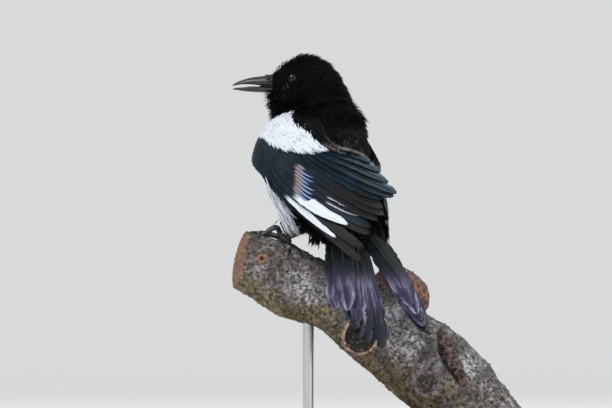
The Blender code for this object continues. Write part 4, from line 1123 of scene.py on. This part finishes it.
def lay_over_wing(name, sheet, tree, edge, length, width, lift, rise, base, tip_of=None):
    """Small feathers on a wing whose tips stay inside an outline on its sheet."""
    row, column = dice.random(TRIES), dice.random(TRIES) * 0.8 - 0.06
    kept = inside(edge, row, column + 0.035)
    row, column = row[kept], column[kept]
    count = len(row)
    point, normal, across, _ = sheet.at(row, column)
    back = unit(sheet.read(sheet.back, row, column))
    lie = unit(back + across * dice.normal(0.05, 0.14, count)[:, None])
    places = point - lie * (length * 0.5)
    for index, way in enumerate(normal):
        hit = tree.ray_cast(Vector(places[index] + way * ROOT_ABOVE), Vector(-way), ROOT_SEARCH)[0]
        places[index] = (np.array(hit) if hit else places[index]) + way * rise
    colours = base * dice.uniform(0.9, 1.06, (count, 1))
    grow_at(name, places, normal, lie, length * dice.uniform(0.8, 1.2, count),
            width * dice.uniform(0.8, 1.2, count), lift + dice.normal(0.0, 0.03, count), colours,
            tip_of(colours, column) if tip_of else colours)


def fringed_tips(colours, column):
    """Grey tips towards the mantle's lower edge."""
    worn = ease(0.40, 0.62, column) * (dice.random(len(column)) < 0.6)
    return mix(colours * 1.4, GREY_FRINGE * 1.9, worn)


for sheet, wing, side in ((left_sheet, left_wing, "left"), (right_sheet, right_wing, "right")):
    tree = tree_of(wing)
    lay_over_wing(f"shoulder_{side}", sheet, tree, SHOULDER_EDGE, 10.0, 2.7, 0.10, 1.0, WHITE)
    lay_over_wing(f"mantle_{side}", sheet, tree, MANTLE_EDGE, 11.0, 1.5, 0.16, 1.1, BLACK, fringed_tips)

# %% [markdown]
# The tail has six feathers on each side, the middle one longest and on top. Each droops a little
# towards its tip. Bronze-green near the body turns violet, then blue-black at the tip. A pale lilac
# band across the middle is partly the violet's own colour and partly painted sheen, and the outermost
# left feathers carry a painted bluish highlight along one edge.

# %% Tail
TAIL_ROOT = np.array((-14.0, -25.0, 163.0))
TAIL_ACROSS = unit(np.array((0.97, -0.10, -0.22)))
TAIL_UP = unit(np.array((-0.05, -0.55, 0.83)))
TAIL_STEP, TAIL_PARTING, TAIL_DROP = 2.0, 4.4, 0.9
TAIL_SAG = 0.018              # share of a feather's length
LEFT_TIPS = ((-29, -112, 101), (-20, -128, 99.5), (-14, -134, 86), (-11, -137, 79), (-5, -139, 76),
             (5, -140, 73))
RIGHT_TIPS = ((20, -110, 106), (26, -122, 103), (30, -129, 97), (33, -134, 92), (35, -137, 88),
              (37.5, -139, 84))
TAIL_WIDTH = 16.0
TAIL_TAPER = 0.70             # share of a feather's length where it starts to narrow
TAIL_SHORTER = 0.035          # share by which the vanes end before the solids' tips
TAIL_STATIONS = 60

tail_finish = Finish("tail_feathers", gloss=0.2, roughness=0.34)
across, along, kinds, edge_gap, barbs = vane_wires(tail_finish, 0.5, -30.0, 260.0)
shaft_kind, phase = kinds[1:3]
step, blend = tail_finish.step, tail_finish.blend
sideways, _, height = (place * 1000.0 for place in tail_finish.split("XYZ", tail_finish.place()))
cloud = tail_finish.grain(70.0, 3.0)
vane_spot = tail_finish.node("CombineXYZ", {}, {0: across * 3.6, 1: along * 3.2, 2: phase * 11.0})
streaks = tail_finish.node("TexNoise", {}, {0: vane_spot, "Scale": 1.0, "Detail": 4.0, "Roughness": 0.6})
drift = height + (streaks - 0.5) * 34.0
# Painted sheen: a pale lilac and bluish-white band at a set height, partly the tail's own violet.
violet_sheen_band = step(90.0, 106.0, drift) * (1.0 - step(116.0, 134.0, drift))
violet_sheen_band = violet_sheen_band * (step(0.44, 0.60, streaks) * 0.85 + 0.15)
colour = blend(step(112.0, 140.0, height), (0.004, 0.006, 0.013), (0.0035, 0.0065, 0.008))
violet_and_sheen = blend(step(0.52, 0.72, streaks), (0.13, 0.105, 0.23), (0.34, 0.35, 0.42))
colour = blend(violet_sheen_band * 0.8, colour, violet_and_sheen)
# Painted highlight: a bluish-white stripe along one edge of the outermost left feathers.
rim_light = (1.0 - step(0.10, 0.45, across)) * step(88.0, 104.0, drift) * (1.0 - step(112.0, 128.0, drift))
colour = blend(rim_light * (1.0 - step(-30.0, -20.0, sideways)), colour, (0.24, 0.34, 0.46))
tail_finish.paint(shaft_kind, colour, (0.006, 0.006, 0.008))
matt = step(0.78, 0.96, edge_gap) * 0.5
tail_finish.feed("Roughness", tail_finish.grain(400.0, 2.0) * 0.16 + matt + 0.30)
tail_finish.bump(barbs * 0.5 + cloud, 0.0001, 0.5)


def lay_tail_vane(plumage, root, tip):
    """One tail feather between two points in the world, with a cloud of its own."""
    share = np.linspace(0.0, 1.0, TAIL_STATIONS)
    length = np.linalg.norm(tip - root)
    along = unit(tip - root)
    across = unit(np.cross(along, TAIL_UP))
    normal = np.cross(across, along)
    sag = 4.0 * share * (1.0 - share) * length * TAIL_SAG
    point = root + along * (share * length)[:, None] + normal * sag[:, None]
    lay_body(plumage, share, point, np.tile(normal, (TAIL_STATIONS, 1)), np.tile(across, (TAIL_STATIONS, 1)),
             TAIL_WIDTH, None, blunt=TAIL_TAPER, worn=0.18 + 0.8 * ease(0.70, 1.0, share)[:, None])


def dress_tail(tips, side, name, node):
    """Half of the tail."""
    plumage = Plumage(6)
    last = len(tips) - 1
    for index, tip in enumerate(np.array(tips, float)):
        inward = last - index
        root = TAIL_ROOT + TAIL_ACROSS * side * (TAIL_PARTING + inward * TAIL_STEP)
        root = root - TAIL_UP * inward * TAIL_DROP
        lay_tail_vane(plumage, root, tip + (root - tip) * TAIL_SHORTER * (1.0 - index / last * 0.3))
    plumage.build(name, tail_finish.material, "tail_feathers", node)


dress_tail(LEFT_TIPS, -1, "tail_feathers_left", "tail_left")
dress_tail(RIGHT_TIPS, 1, "tail_feathers_right", "tail_right")

# %% [markdown]
# The bill is horn: two smooth tapering halves, dark slate with a soft shine. The solid model's
# sections are read through a smooth curve here, which gives rings close enough to look round.

# %% Bill
HEAD_MIDDLE = 32.0
UPPER_BILL = np.array(((-73.6, 270.6, 262.3, 5.4), (-81.0, 269.6, 262.6, 4.9), (-88.5, 268.6, 263.4, 4.2),
                       (-95.5, 266.8, 263.5, 3.2), (-100.0, 264.9, 262.9, 2.0), (-102.8, 263.1, 262.3, 0.55)))
LOWER_BILL = np.array(((-73.6, 261.5, 257.7, 4.9), (-81.0, 261.8, 257.6, 4.5), (-88.5, 262.1, 258.0, 3.7),
                       (-95.5, 261.4, 258.7, 2.6), (-100.0, 261.1, 259.5, 1.6), (-102.6, 260.4, 259.7, 0.45)))
MOUTH = np.array(((-70.0, 264.6, 260.2, 4.0), (-75.0, 263.4, 260.9, 3.8), (-80.0, 263.0, 261.3, 3.0),
                  (-83.5, 262.4, 261.7, 1.6)))
BILL_RINGS, BILL_SIDES = 40, 40
BILL_ROUNDNESS = 2.2          # 2 would be an ellipse, more is squarer
horn_finish = Finish("horn", roughness=0.3)
horn_cloud = horn_finish.grain(220.0, 5.0, (0.35, 1.0, 1.0))
horn_finish.paint(horn_cloud, (0.005, 0.0055, 0.0078), (0.016, 0.018, 0.025))
horn_finish.scuff(0.24, 0.22, 900.0, 3.0, (0.3, 1.0, 1.0))
horn_finish.bump(horn_cloud, 0.00008, 0.5)
mouth_finish = Finish("mouth", roughness=0.4, base_color=(0.012, 0.007, 0.007, 1.0))
mouth_finish.scuff(0.3, 0.2, 400.0)


def bill_half(sections, name, finish, base_share, *nodes):
    """One half of the bill, closed at both ends: rows of x, top, bottom and half width."""
    turn = np.linspace(0.0, math.tau, BILL_SIDES, endpoint=False)
    flat, tall = np.cos(turn), np.sin(turn)
    reach = (np.abs(flat) ** BILL_ROUNDNESS + np.abs(tall) ** BILL_ROUNDNESS) ** (-1.0 / BILL_ROUNDNESS)
    along, top, bottom, half = smooth_line(sections, BILL_RINGS).T[..., None]
    base = bottom + (top - bottom) * base_share
    height = np.where(tall > 0, top - base, base - bottom)
    rings = np.stack((np.broadcast_to(along, height.shape), HEAD_MIDDLE - half * flat * reach,
                      base + height * tall * reach), axis=-1)
    index = np.arange(BILL_RINGS * BILL_SIDES).reshape(BILL_RINGS, BILL_SIDES)
    after = np.roll(index, -1, axis=1)
    faces = np.stack((index[:-1], after[:-1], after[1:], index[1:]), -1).reshape(-1, 4).tolist()
    for end, middle in ((0, -2), (-1, -1)):
        faces += [(first, second, middle) for first, second in zip(index[end], after[end])]
    shape = bmesh.new()
    points = np.concatenate((rings.reshape(-1, 3), rings[[0, -1]].mean(axis=1)))
    vertices = [shape.verts.new(point * MM) for point in points]
    for face in faces:
        shape.faces.new([vertices[corner] for corner in face])
    bmesh.ops.recalc_face_normals(shape, faces=shape.faces)
    settle(object_from(shape, name, finish.material), "horn", *nodes)


bill_half(UPPER_BILL, "horn_bill_upper", horn_finish, 0.25, "bill_upper")
bill_half(LOWER_BILL, "horn_bill_lower", horn_finish, 0.75, "bill_lower")
bill_half(MOUTH, "mouth_lining", mouth_finish, 0.75)

# %% [markdown]
# The eye is dark and wet: a smooth ball, nearly black, with a faint blue-grey iris that shows only
# where a lamp falls on it. A thin ring of lid closes the gap between the ball and the feathers.

# %% Eyes
EYE_RADIUS = 4.35
PUPIL, IRIS, EYE_RIM = (np.array(tone) for tone in ((0.001, 0.001, 0.001), (0.0050, 0.0095, 0.0170),
                                                    (0.002, 0.002, 0.002)))
LID_ACROSS, LID_TALL, LID_TUBE = 3.35, 2.95, 0.42
LID_STEPS, LID_SIDES = 64, 12
eye_finish = Finish("eye", gloss=0.3, roughness=0.20)
eye_finish.feed("Base Color", eye_finish.attribute("tint"))
lid_finish = Finish("eye_lids", gloss=0.1, roughness=0.6)
lid_finish.paint(lid_finish.grain(900.0), BLACK, BLACK * 2.2)
POLE_TO_SIDE = Vector((0, 0, 1)).rotation_difference(Vector((0, 1, 0))).to_matrix()


def eyeball(centre, name):
    """Smooth ball with a pole to the side and the iris round it."""
    shape = bmesh.new()
    bmesh.ops.create_uvsphere(shape, u_segments=64, v_segments=40, radius=EYE_RADIUS * MM)
    bmesh.ops.rotate(shape, verts=shape.verts, cent=(0, 0, 0), matrix=POLE_TO_SIDE)
    bmesh.ops.translate(shape, verts=shape.verts, vec=Vector(centre) * MM)
    made = object_from(shape, name, eye_finish.material)
    off_x, _, off_z = (points_of(made) - centre).T
    off_axis = np.hypot(off_x, off_z) / EYE_RADIUS
    tint = mix(mix(PUPIL, IRIS, ease(0.40, 0.48, off_axis)), EYE_RIM, ease(0.62, 0.72, off_axis))
    store_colour(made, "tint", tint)
    return made


for side, centre in zip(("left", "right"), EYE_CENTRES):
    settle(eyeball(centre, f"eyeball_{side}"), "eye", f"eye_{side}")
for side, centre, outward in zip(("left", "right"), EYE_CENTRES, (-1.0, 1.0)):
    turn = np.linspace(0.0, math.tau, LID_STEPS, endpoint=False)[:, None]
    bend = np.linspace(0.0, math.tau, LID_SIDES, endpoint=False)[None]
    wide = 1.0 + np.cos(bend) * LID_TUBE / LID_TALL
    rim_x, rim_z = LID_ACROSS * np.cos(turn) * wide, LID_TALL * np.sin(turn) * wide
    depth = np.sqrt(EYE_RADIUS ** 2 - LID_ACROSS ** 2) - 0.1 + np.sin(bend) * LID_TUBE * 1.5
    spots = centre + np.stack((rim_x, np.broadcast_to(outward * depth, rim_x.shape), rim_z), axis=-1)
    index = np.arange(LID_STEPS * LID_SIDES).reshape(LID_STEPS, LID_SIDES)
    after, over = np.roll(index, -1, axis=0), np.roll(index, -1, axis=1)
    quads = np.stack((index, after, np.roll(after, -1, axis=1), over), -1).reshape(-1, 4)
    quads = quads[:, ::-1] if outward < 0 else quads
    settle(mesh_object(f"eye_lids_{side}", spots.reshape(-1, 3), quads, lid_finish.material), "plumage_black")

# %% [markdown]
# Legs and toes are scaly skin over bone. A remeshed copy of the solids gives an even surface, and
# rings of scales are pushed out of it: along the shank by height, along the toes by the distance from
# the ankle.

# %% Legs and claws
LIMB_VOXEL, CLAW_VOXEL = 0.35, 0.22
SCALE_PITCH, SCALE_HEIGHT = 1.9, 0.16
leg_finish = Finish("scaly_leg", roughness=0.45)
leg_cells = leg_finish.node("TexVoronoi", {}, {0: leg_finish.place(), "Scale": 900.0})
leg_finish.paint(leg_finish.grain(400.0), (0.012, 0.012, 0.015), (0.05, 0.052, 0.06))
leg_finish.scuff(0.3, 0.25, 700.0)
leg_finish.bump(leg_cells, 0.0002, 0.6)

for side in ("left", "right"):
    low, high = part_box(f"foot_{side}")
    ankle = np.array(((low[0] + high[0]) / 2, (low[1] + high[1]) / 2, high[2])) / MM
    for part in ("tarsus", "foot"):
        limb = even_copy((f"{part}_{side}",), f"scaly_{part}_{side}", LIMB_VOXEL, 3)
        spots = points_of(limb)
        ring = np.linalg.norm(spots - ankle, axis=1)
        ridge = np.abs(np.sin(ring * math.pi / SCALE_PITCH)) ** 0.5
        move_points(limb, spots + normals_of(limb) * (SCALE_HEIGHT * ridge)[:, None])
        limb.data.materials.append(leg_finish.material)
        settle(limb, "scaly_leg", f"{part}_{side}")
    for index in range(1, 5):
        node = f"claw_{side}_{index}"
        claw = even_copy((node,), f"horn_{node}", CLAW_VOXEL, 4)
        claw.data.materials.append(horn_finish.material)
        settle(claw, "horn", node)

# %% [markdown]
# The branch is old wood. An even mesh over the solid is roughened with several sizes of noise, always
# inward, so that the toes still rest on it. Its colours come from the place on the branch: sawn wood
# at the ends, grey bark and lichen on top, green and brown below.

# %% Branch
BARK_VOXEL = 1.1
CUT_END = np.array((-97.5, 5.0, 138.6))
CUT_WAY = unit(np.array((0.96, 0.17, -0.22)))
STUB_END, STUB_WAY = np.array((20.0, 4.0, 114.5)), unit(np.array((10.0, -4.0, 12.0)))
HOLE, HOLE_RADIUS = (-11.0, 81.5), 11.6
RING_SCAR, RING_RADIUS = (37.0, 48.5), 11.0
SMALL_KNOT = (-81.4, 138.2)
SCAR_LINE = np.array(((48.0, -16.0, 85.0), (51.0, -19.0, 74.0), (56.0, -22.0, 61.0), (63.0, -23.0, 49.0)))
SCAR_WIDE = (2.8, 6.0, 6.0, 3.4)
KNOT_RING, CUT_RING, STUB_RING = 4.2, 2.6, 3.4
NOISE_FALL, NOISE_STEP = 0.9, 2.1
perch = even_copy(("perch",), "bark", BARK_VOXEL, 2)
bark_points = points_of(perch)
bark_normals = normals_of(perch)


def noise_at(offset, scale, octaves=3):
    """Noise from about -1 to 1 at the bark's points, moved by an offset, with grains of that size."""
    return np.array([noise.fractal(Vector(point) / scale, NOISE_FALL, NOISE_STEP, octaves)
                     for point in bark_points + offset])


def far_side():
    """Extra distance for the side that the viewer doesn't see."""
    return 60.0 * ease(6.0, 14.0, bark_points[:, 1])


def picture_gap(spot_x, spot_z):
    """Distance from a spot as the viewer sees it, and only on the viewer's side."""
    return np.hypot(bark_points[:, 0] - spot_x, bark_points[:, 2] - spot_z) + far_side()


def scar_gap():
    """Distance from the long scar's edge, negative inside it."""
    flat = (1, 0, 1)
    gap = np.min([line_gap(bark_points * flat, start * flat, end * flat)
                  for start, end in zip(SCAR_LINE[:-1], SCAR_LINE[1:])], axis=0)
    return gap - np.interp(-bark_points[:, 2], -SCAR_LINE[:, 2], SCAR_WIDE) + far_side()


def near(value, middle, width):
    """Share from 0 to 1 that is highest where a value is at the middle."""
    return np.exp(-((value - middle) / width) ** 2)


def rings_round(gap, pitch, waver=0.0):
    """Even rings, from 0 to 1, that a waver in radians makes uneven."""
    return 0.5 + 0.5 * np.cos(gap * math.tau / pitch + waver)


coarse = noise_at(0.0, 16.0)
fine = noise_at(50.0, 3.4)
grit = noise_at(90.0, 1.5, 2)
cut_face = 1.0 - ease(0.3, 0.9, (bark_points - CUT_END) @ CUT_WAY)
foot_face = 1.0 - ease(25.2, 26.4, bark_points[:, 2])
stub_face = ease(-2.6, -1.2, (bark_points - STUB_END) @ STUB_WAY)
stub_face *= ease(98.0, 103.0, bark_points[:, 2] + 1.5 * fine)
sawn = np.max((cut_face, foot_face, stub_face), axis=0)
hole = picture_gap(*HOLE)
hole_share = hole / HOLE_RADIUS
ring_scar, small_knot, scar = picture_gap(*RING_SCAR), picture_gap(*SMALL_KNOT), scar_gap()
knot_rings = rings_round(ring_scar, KNOT_RING)
calm = (1.0 - sawn * 0.8) * ease(0.6, 1.1, hole_share)
sink = (1.1 * ease(-0.4, 0.5, coarse) + 1.1 * ease(-0.1, 0.6, fine) + 0.4 * ease(0.0, 0.8, grit)) * calm
scar_side = bark_points[:, 0] - np.interp(-bark_points[:, 2], -SCAR_LINE[:, 2], SCAR_LINE[:, 0])
sink += (3.2 - 0.35 * scar_side) * (1.0 - ease(-1.6, 0.9, scar)) * (0.75 + 0.5 * ease(-0.3, 0.4, fine))
sink += 2.6 * (1.0 - ease(0.6, 1.8, small_knot)) + 3.0 * (1.0 - ease(0.70, 0.98, hole_share))
sink += 0.9 * knot_rings * (1.0 - ease(9.0, 12.5, ring_scar))
sink -= 1.1 * near(scar, 2.0, 1.6) + 0.8 * near(ring_scar, RING_RADIUS, 1.5)
sink -= 0.5 * near(small_knot, 3.0, 1.0)
move_points(perch, bark_points - bark_normals * sink[:, None])

# %% [markdown]
# The colours are laid one over the other, each with a share that says where it shows: first moss and
# lichen on grey bark, then dark specks and painted shade where the bark sinks deepest, then the sawn
# ends and last the hole, the scars and the knots. The hole's dark inside and the left side of the long
# scar are painted shade too.

# %% Bark colours
GREY_BARK, OLIVE_BARK, DARK_BARK, LICHEN, ORANGE_WOOD, PALE_RIM, PINK_WOOD = (np.array(tone) for tone in (
    (0.135, 0.122, 0.118), (0.185, 0.145, 0.050), (0.016, 0.012, 0.009), (0.44, 0.425, 0.46),
    (0.30, 0.125, 0.06), (0.55, 0.37, 0.26), (0.17, 0.10, 0.095)))
BRIGHT_LICHEN = ((-54.0, 118.0, 15.0), (-43.0, 111.0, 10.0), (20.0, 76.0, 16.0), (12.0, 96.0, 12.0),
                 (68.0, 62.0, 11.0))
facing_up = bark_normals[:, 2]
speck = noise_at(20.0, 2.8, 4)
lichen_noise = noise_at(7.0, 8.0)
olive = ease(-0.05, 0.75, -facing_up + 0.5 * coarse) * (0.55 + 0.45 * ease(-0.4, 0.4, speck))
lichen = ease(0.12, 0.55, lichen_noise + 0.25 * facing_up - 0.12) * ease(-0.35, 0.1, speck) * 0.75
tone = mix(mix(GREY_BARK, OLIVE_BARK, olive), LICHEN, lichen)
for patch_x, patch_z, reach in BRIGHT_LICHEN:
    gap = picture_gap(patch_x, patch_z) / reach + 0.35 * lichen_noise
    tone = mix(tone, LICHEN * 1.1, (1.0 - ease(0.45, 1.05, gap)) * ease(-0.5, 0.0, speck) * 0.8)
tone *= (0.62 + 0.75 * ease(-0.45, 0.45, coarse))[:, None]
cut_rings = rings_round(np.linalg.norm(bark_points - CUT_END, axis=1), CUT_RING, fine * 2.0)
cut_dark = np.maximum(ease(0.45, 0.95, cut_rings) * 0.65, ease(0.1, 0.5, fine) * 0.75)
stub_rings = rings_round(np.linalg.norm(bark_points - STUB_END, axis=1), STUB_RING, fine * 3.0)
stub_dark = np.maximum(ease(-0.1, 0.45, fine) * 0.9, ease(0.5, 0.95, stub_rings) * 0.8)
# Painted shadow: the left side of the long scar is dark, and pink wood shows on the rest.
scar_lit_share = ease(-2.6, -0.4, scar_side) * ease(-0.25, 0.15, speck)
for layer, share in (
        (DARK_BARK, ease(0.20, 0.60, speck) * 0.65),
        # Painted shade: darker where the bark sinks deepest.
        (DARK_BARK, ease(0.9, 1.7, sink) * 0.75),
        (mix(ORANGE_WOOD, DARK_BARK * 2.0, cut_dark), cut_face),
        (mix(ORANGE_WOOD * 0.8, DARK_BARK, stub_dark), stub_face),
        (PALE_RIM, near(hole, HOLE_RADIUS + 0.6, 1.3) * 0.9),
        # Painted shade: the inside of the hole is dark, with a few orange bits of wood.
        (mix(DARK_BARK * 0.5, ORANGE_WOOD * 0.6, ease(0.2, 0.6, fine)), 1.0 - ease(0.8, 1.0, hole_share)),
        # Painted shadow on the left side of the long scar.
        (mix(DARK_BARK * 0.35, PINK_WOOD, scar_lit_share), 1.0 - ease(-1.0, 0.6, scar)),
        (ORANGE_WOOD * 0.9, (1.0 - ease(2.4, 4.2, small_knot)) * ease(-0.6, -0.1, speck)),
        (DARK_BARK * 0.4, 1.0 - ease(1.0, 1.9, small_knot)),
        (DARK_BARK * 1.4, (1.0 - ease(5.0, 6.6, ring_scar)) * (0.35 + 0.6 * knot_rings)),
        (DARK_BARK, near(ring_scar, 6.4, 0.8) * 0.7),
        (LICHEN * 0.55, near(ring_scar, 9.2, 1.6) * 0.7)):
    tone = mix(tone, layer, share)
store_colour(perch, "tint", tone)
bark_finish = Finish("bark", roughness=0.85)
bark_noise = bark_finish.grain(420.0, 6.0)
bark_colour = bark_finish.blend(bark_finish.step(0.48, 0.64, bark_noise) * 0.9, bark_finish.attribute("tint"),
                                DARK_BARK)
bark_finish.paint((1.0 - bark_finish.step(0.30, 0.44, bark_noise)) * 0.45, bark_colour, (0.36, 0.34, 0.32))
bark_finish.scuff(0.7, 0.2, 300.0)
bark_finish.bump(bark_noise, 0.0012, 1.0)
perch.data.materials.append(bark_finish.material)
settle(perch, "bark", "perch")

# %% [markdown]
# Loose flakes stand up from old bark, strewn evenly over it. A small node tree strews them: points on
# the branch, one flake on each, turned to the surface and then at random, and made into plain mesh.

# %% Flakes
FLAKES_WANTED = 1500          # the random spread gives somewhat more or fewer
FLAKE_SEED = 5
flake_finish = Finish("bark_flakes", roughness=0.9)
flake_finish.paint(flake_finish.grain(150.0), (0.03, 0.022, 0.017), (0.20, 0.18, 0.16))
flake_finish.scuff(0.75, 0.15, 300.0)
flake_points = np.array(((-1, -0.6, 0), (0.9, -0.8, 0.1), (1.2, 0.5, 0.25), (-0.5, 0.9, 0.15),
                         (-0.7, -0.3, 0.55), (0.7, -0.4, 0.6), (0.8, 0.4, 0.7), (-0.4, 0.5, 0.6))) * 0.85
flake_faces = np.array(((3, 2, 1, 0), (4, 5, 6, 7), (0, 1, 5, 4), (1, 2, 6, 5), (2, 3, 7, 6), (3, 0, 4, 7)))
flake = mesh_object("flake", flake_points, flake_faces, flake_finish.material, False)


def strew(surface, grain, count, seed, material):
    """Plain mesh of many small bodies strewn on a surface."""
    tree = bpy.data.node_groups.new("strew", "GeometryNodeTree")
    sockets = [tree.interface.new_socket(name, in_out=way, socket_type="NodeSocket" + kind)
               for name, way, kind in (("Geometry", "INPUT", "Geometry"), ("Geometry", "OUTPUT", "Geometry"),
                                       ("Density", "INPUT", "Float"), ("Grain", "INPUT", "Object"))]

    def node(kind, settings=None, **inputs):
        made = tree.nodes.new(kind)
        for key, value in (settings or {}).items():
            setattr(made, key, value)
        for key, value in inputs.items():
            socket = made.inputs[key.replace("_", " ")]
            if isinstance(value, bpy.types.NodeSocket):
                tree.links.new(value, socket)
            else:
                socket.default_value = value
        return made

    start = node("NodeGroupInput")
    spread = node("GeometryNodeDistributePointsOnFaces", Mesh=start.outputs["Geometry"],
                  Density=start.outputs["Density"], Seed=seed)
    info = node("GeometryNodeObjectInfo", Object=start.outputs["Grain"])
    twist = node("FunctionNodeRandomValue", {"data_type": "FLOAT_VECTOR"}, Seed=seed + 1)
    twist.inputs[0].default_value, twist.inputs[1].default_value = (-0.35, -0.35, 0.0), (0.35, 0.35, math.tau)
    size = node("FunctionNodeRandomValue", {"data_type": "FLOAT"}, Seed=seed + 2)
    size.inputs[2].default_value, size.inputs[3].default_value = 0.35, 1.15
    turned = node("FunctionNodeRotateRotation", {"rotation_space": "LOCAL"},
                  Rotation=spread.outputs["Rotation"], Rotate_By=twist.outputs[0])
    placed = node("GeometryNodeInstanceOnPoints", Points=spread.outputs["Points"],
                  Instance=info.outputs["Geometry"], Rotation=turned.outputs[0], Scale=size.outputs[1])
    real = node("GeometryNodeRealizeInstances", Geometry=placed.outputs["Instances"])
    coated = node("GeometryNodeSetMaterial", Geometry=real.outputs["Geometry"], Material=material)
    end = node("NodeGroupOutput")
    tree.links.new(coated.outputs["Geometry"], end.inputs["Geometry"])
    carrier = link("flakes", surface.data.copy())
    modifier = carrier.modifiers.new("strew", "NODES")
    modifier.node_group = tree
    modifier[sockets[2].identifier] = count
    modifier[sockets[3].identifier] = grain
    return work_in(carrier)


bark_area = sum(face.area for face in perch.data.polygons)
flakes = strew(perch, flake, FLAKES_WANTED / bark_area, FLAKE_SEED, flake_finish.material)
bpy.data.objects.remove(flake)
settle(flakes, "bark")
print("flakes:", len(flakes.data.vertices) // len(flake_points), "bark points:", len(bark_points))

# %% [markdown]
# The stand keeps its plain solid shapes: a level wooden base and two steel rods under the branch.
# They only get finishes here, wood with its rings and steel brushed along the rods.

# %% Stand
wood_finish = Finish("stand_wood", roughness=0.45)
rings = wood_finish.node("TexWave", {"wave_type": "RINGS"}, {0: wood_finish.place((1.0, 6.0, 6.0)),
                                                             "Scale": 9.0, "Distortion": 3.0, "Detail": 3.0})
wood_finish.paint(rings, (0.30, 0.19, 0.11), (0.46, 0.32, 0.20))
wood_finish.scuff(0.35, 0.15, 300.0)
steel_finish = Finish("stand_steel", roughness=0.3, metallic=1.0, base_color=(0.55, 0.55, 0.56, 1.0))
steel_finish.scuff(0.2, 0.2, 500.0, 3.0, (1.0, 1.0, 0.05))
for node, finish in (("stand_base", wood_finish), ("stand_rod_tall", steel_finish),
                     ("stand_rod_short", steel_finish)):
    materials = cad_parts[node].data.materials
    materials.clear()
    materials.append(finish.material)

# %% [markdown]
# The room is plain: a pale floor and a pale world, a large soft lamp high on the left, a weaker one
# on the right, and one behind for the edges.

# %% Floor and light
floor_finish = Finish("floor", roughness=0.8, base_color=(0.86, 0.86, 0.85, 1.0))
FLOOR_RADIUS, FADE_START, FADE_END = 6000.0, 0.7, 5.0
FLOOR_SIDES = 96
floor_reach = floor_finish.node("VectorMath", {"operation": "LENGTH"}, {0: floor_finish.place()}, 1)
floor_finish.feed("Alpha", 1.0 - floor_finish.step(FADE_START, FADE_END, floor_reach))
turn = np.linspace(0.0, math.tau, FLOOR_SIDES, endpoint=False)
rim = np.stack((np.cos(turn) * FLOOR_RADIUS, np.sin(turn) * FLOOR_RADIUS, np.zeros(FLOOR_SIDES)), axis=1)
corner = np.arange(FLOOR_SIDES)
fan = np.stack((corner, np.roll(corner, -1), np.full(FLOOR_SIDES, FLOOR_SIDES)), axis=1)
floor = mesh_object("floor", np.concatenate((rim, np.zeros((1, 3)))), fan, floor_finish.material, False)

# Lamps: name, place, side length and watts, then colour. Places and sizes are in metres.
LAMPS = (("key", (-0.9, -1.5, 1.9), 0.8, 38.0, (1.0, 0.98, 0.95)),
         ("fill", (1.7, -1.5, 0.9), 1.5, 10.0, (0.95, 0.98, 1.0)),
         ("rim", (1.0, 0.8, 1.6), 0.7, 14.0, (1.0, 1.0, 1.0)))
LAMP_AIM = Vector((-0.04, 0.0, 0.2))
ROOM_COLOUR, ROOM_STRENGTH = (0.86, 0.88, 0.88, 1.0), 0.80
for name, place, size, watts, colour in LAMPS:
    data = bpy.data.lights.new(name, "AREA")
    data.energy, data.size, data.color = watts, size, colour
    lamp = link(name, data)
    lamp.location = place
    lamp.rotation_euler = (LAMP_AIM - Vector(place)).to_track_quat("-Z", "Y").to_euler()
world = bpy.data.worlds.new("room")
world.use_nodes = True
background = world.node_tree.nodes["Background"]
background.inputs[0].default_value = ROOM_COLOUR
background.inputs[1].default_value = ROOM_STRENGTH
bpy.context.scene.world = world
bpy.context.scene.view_settings.view_transform = "Standard"
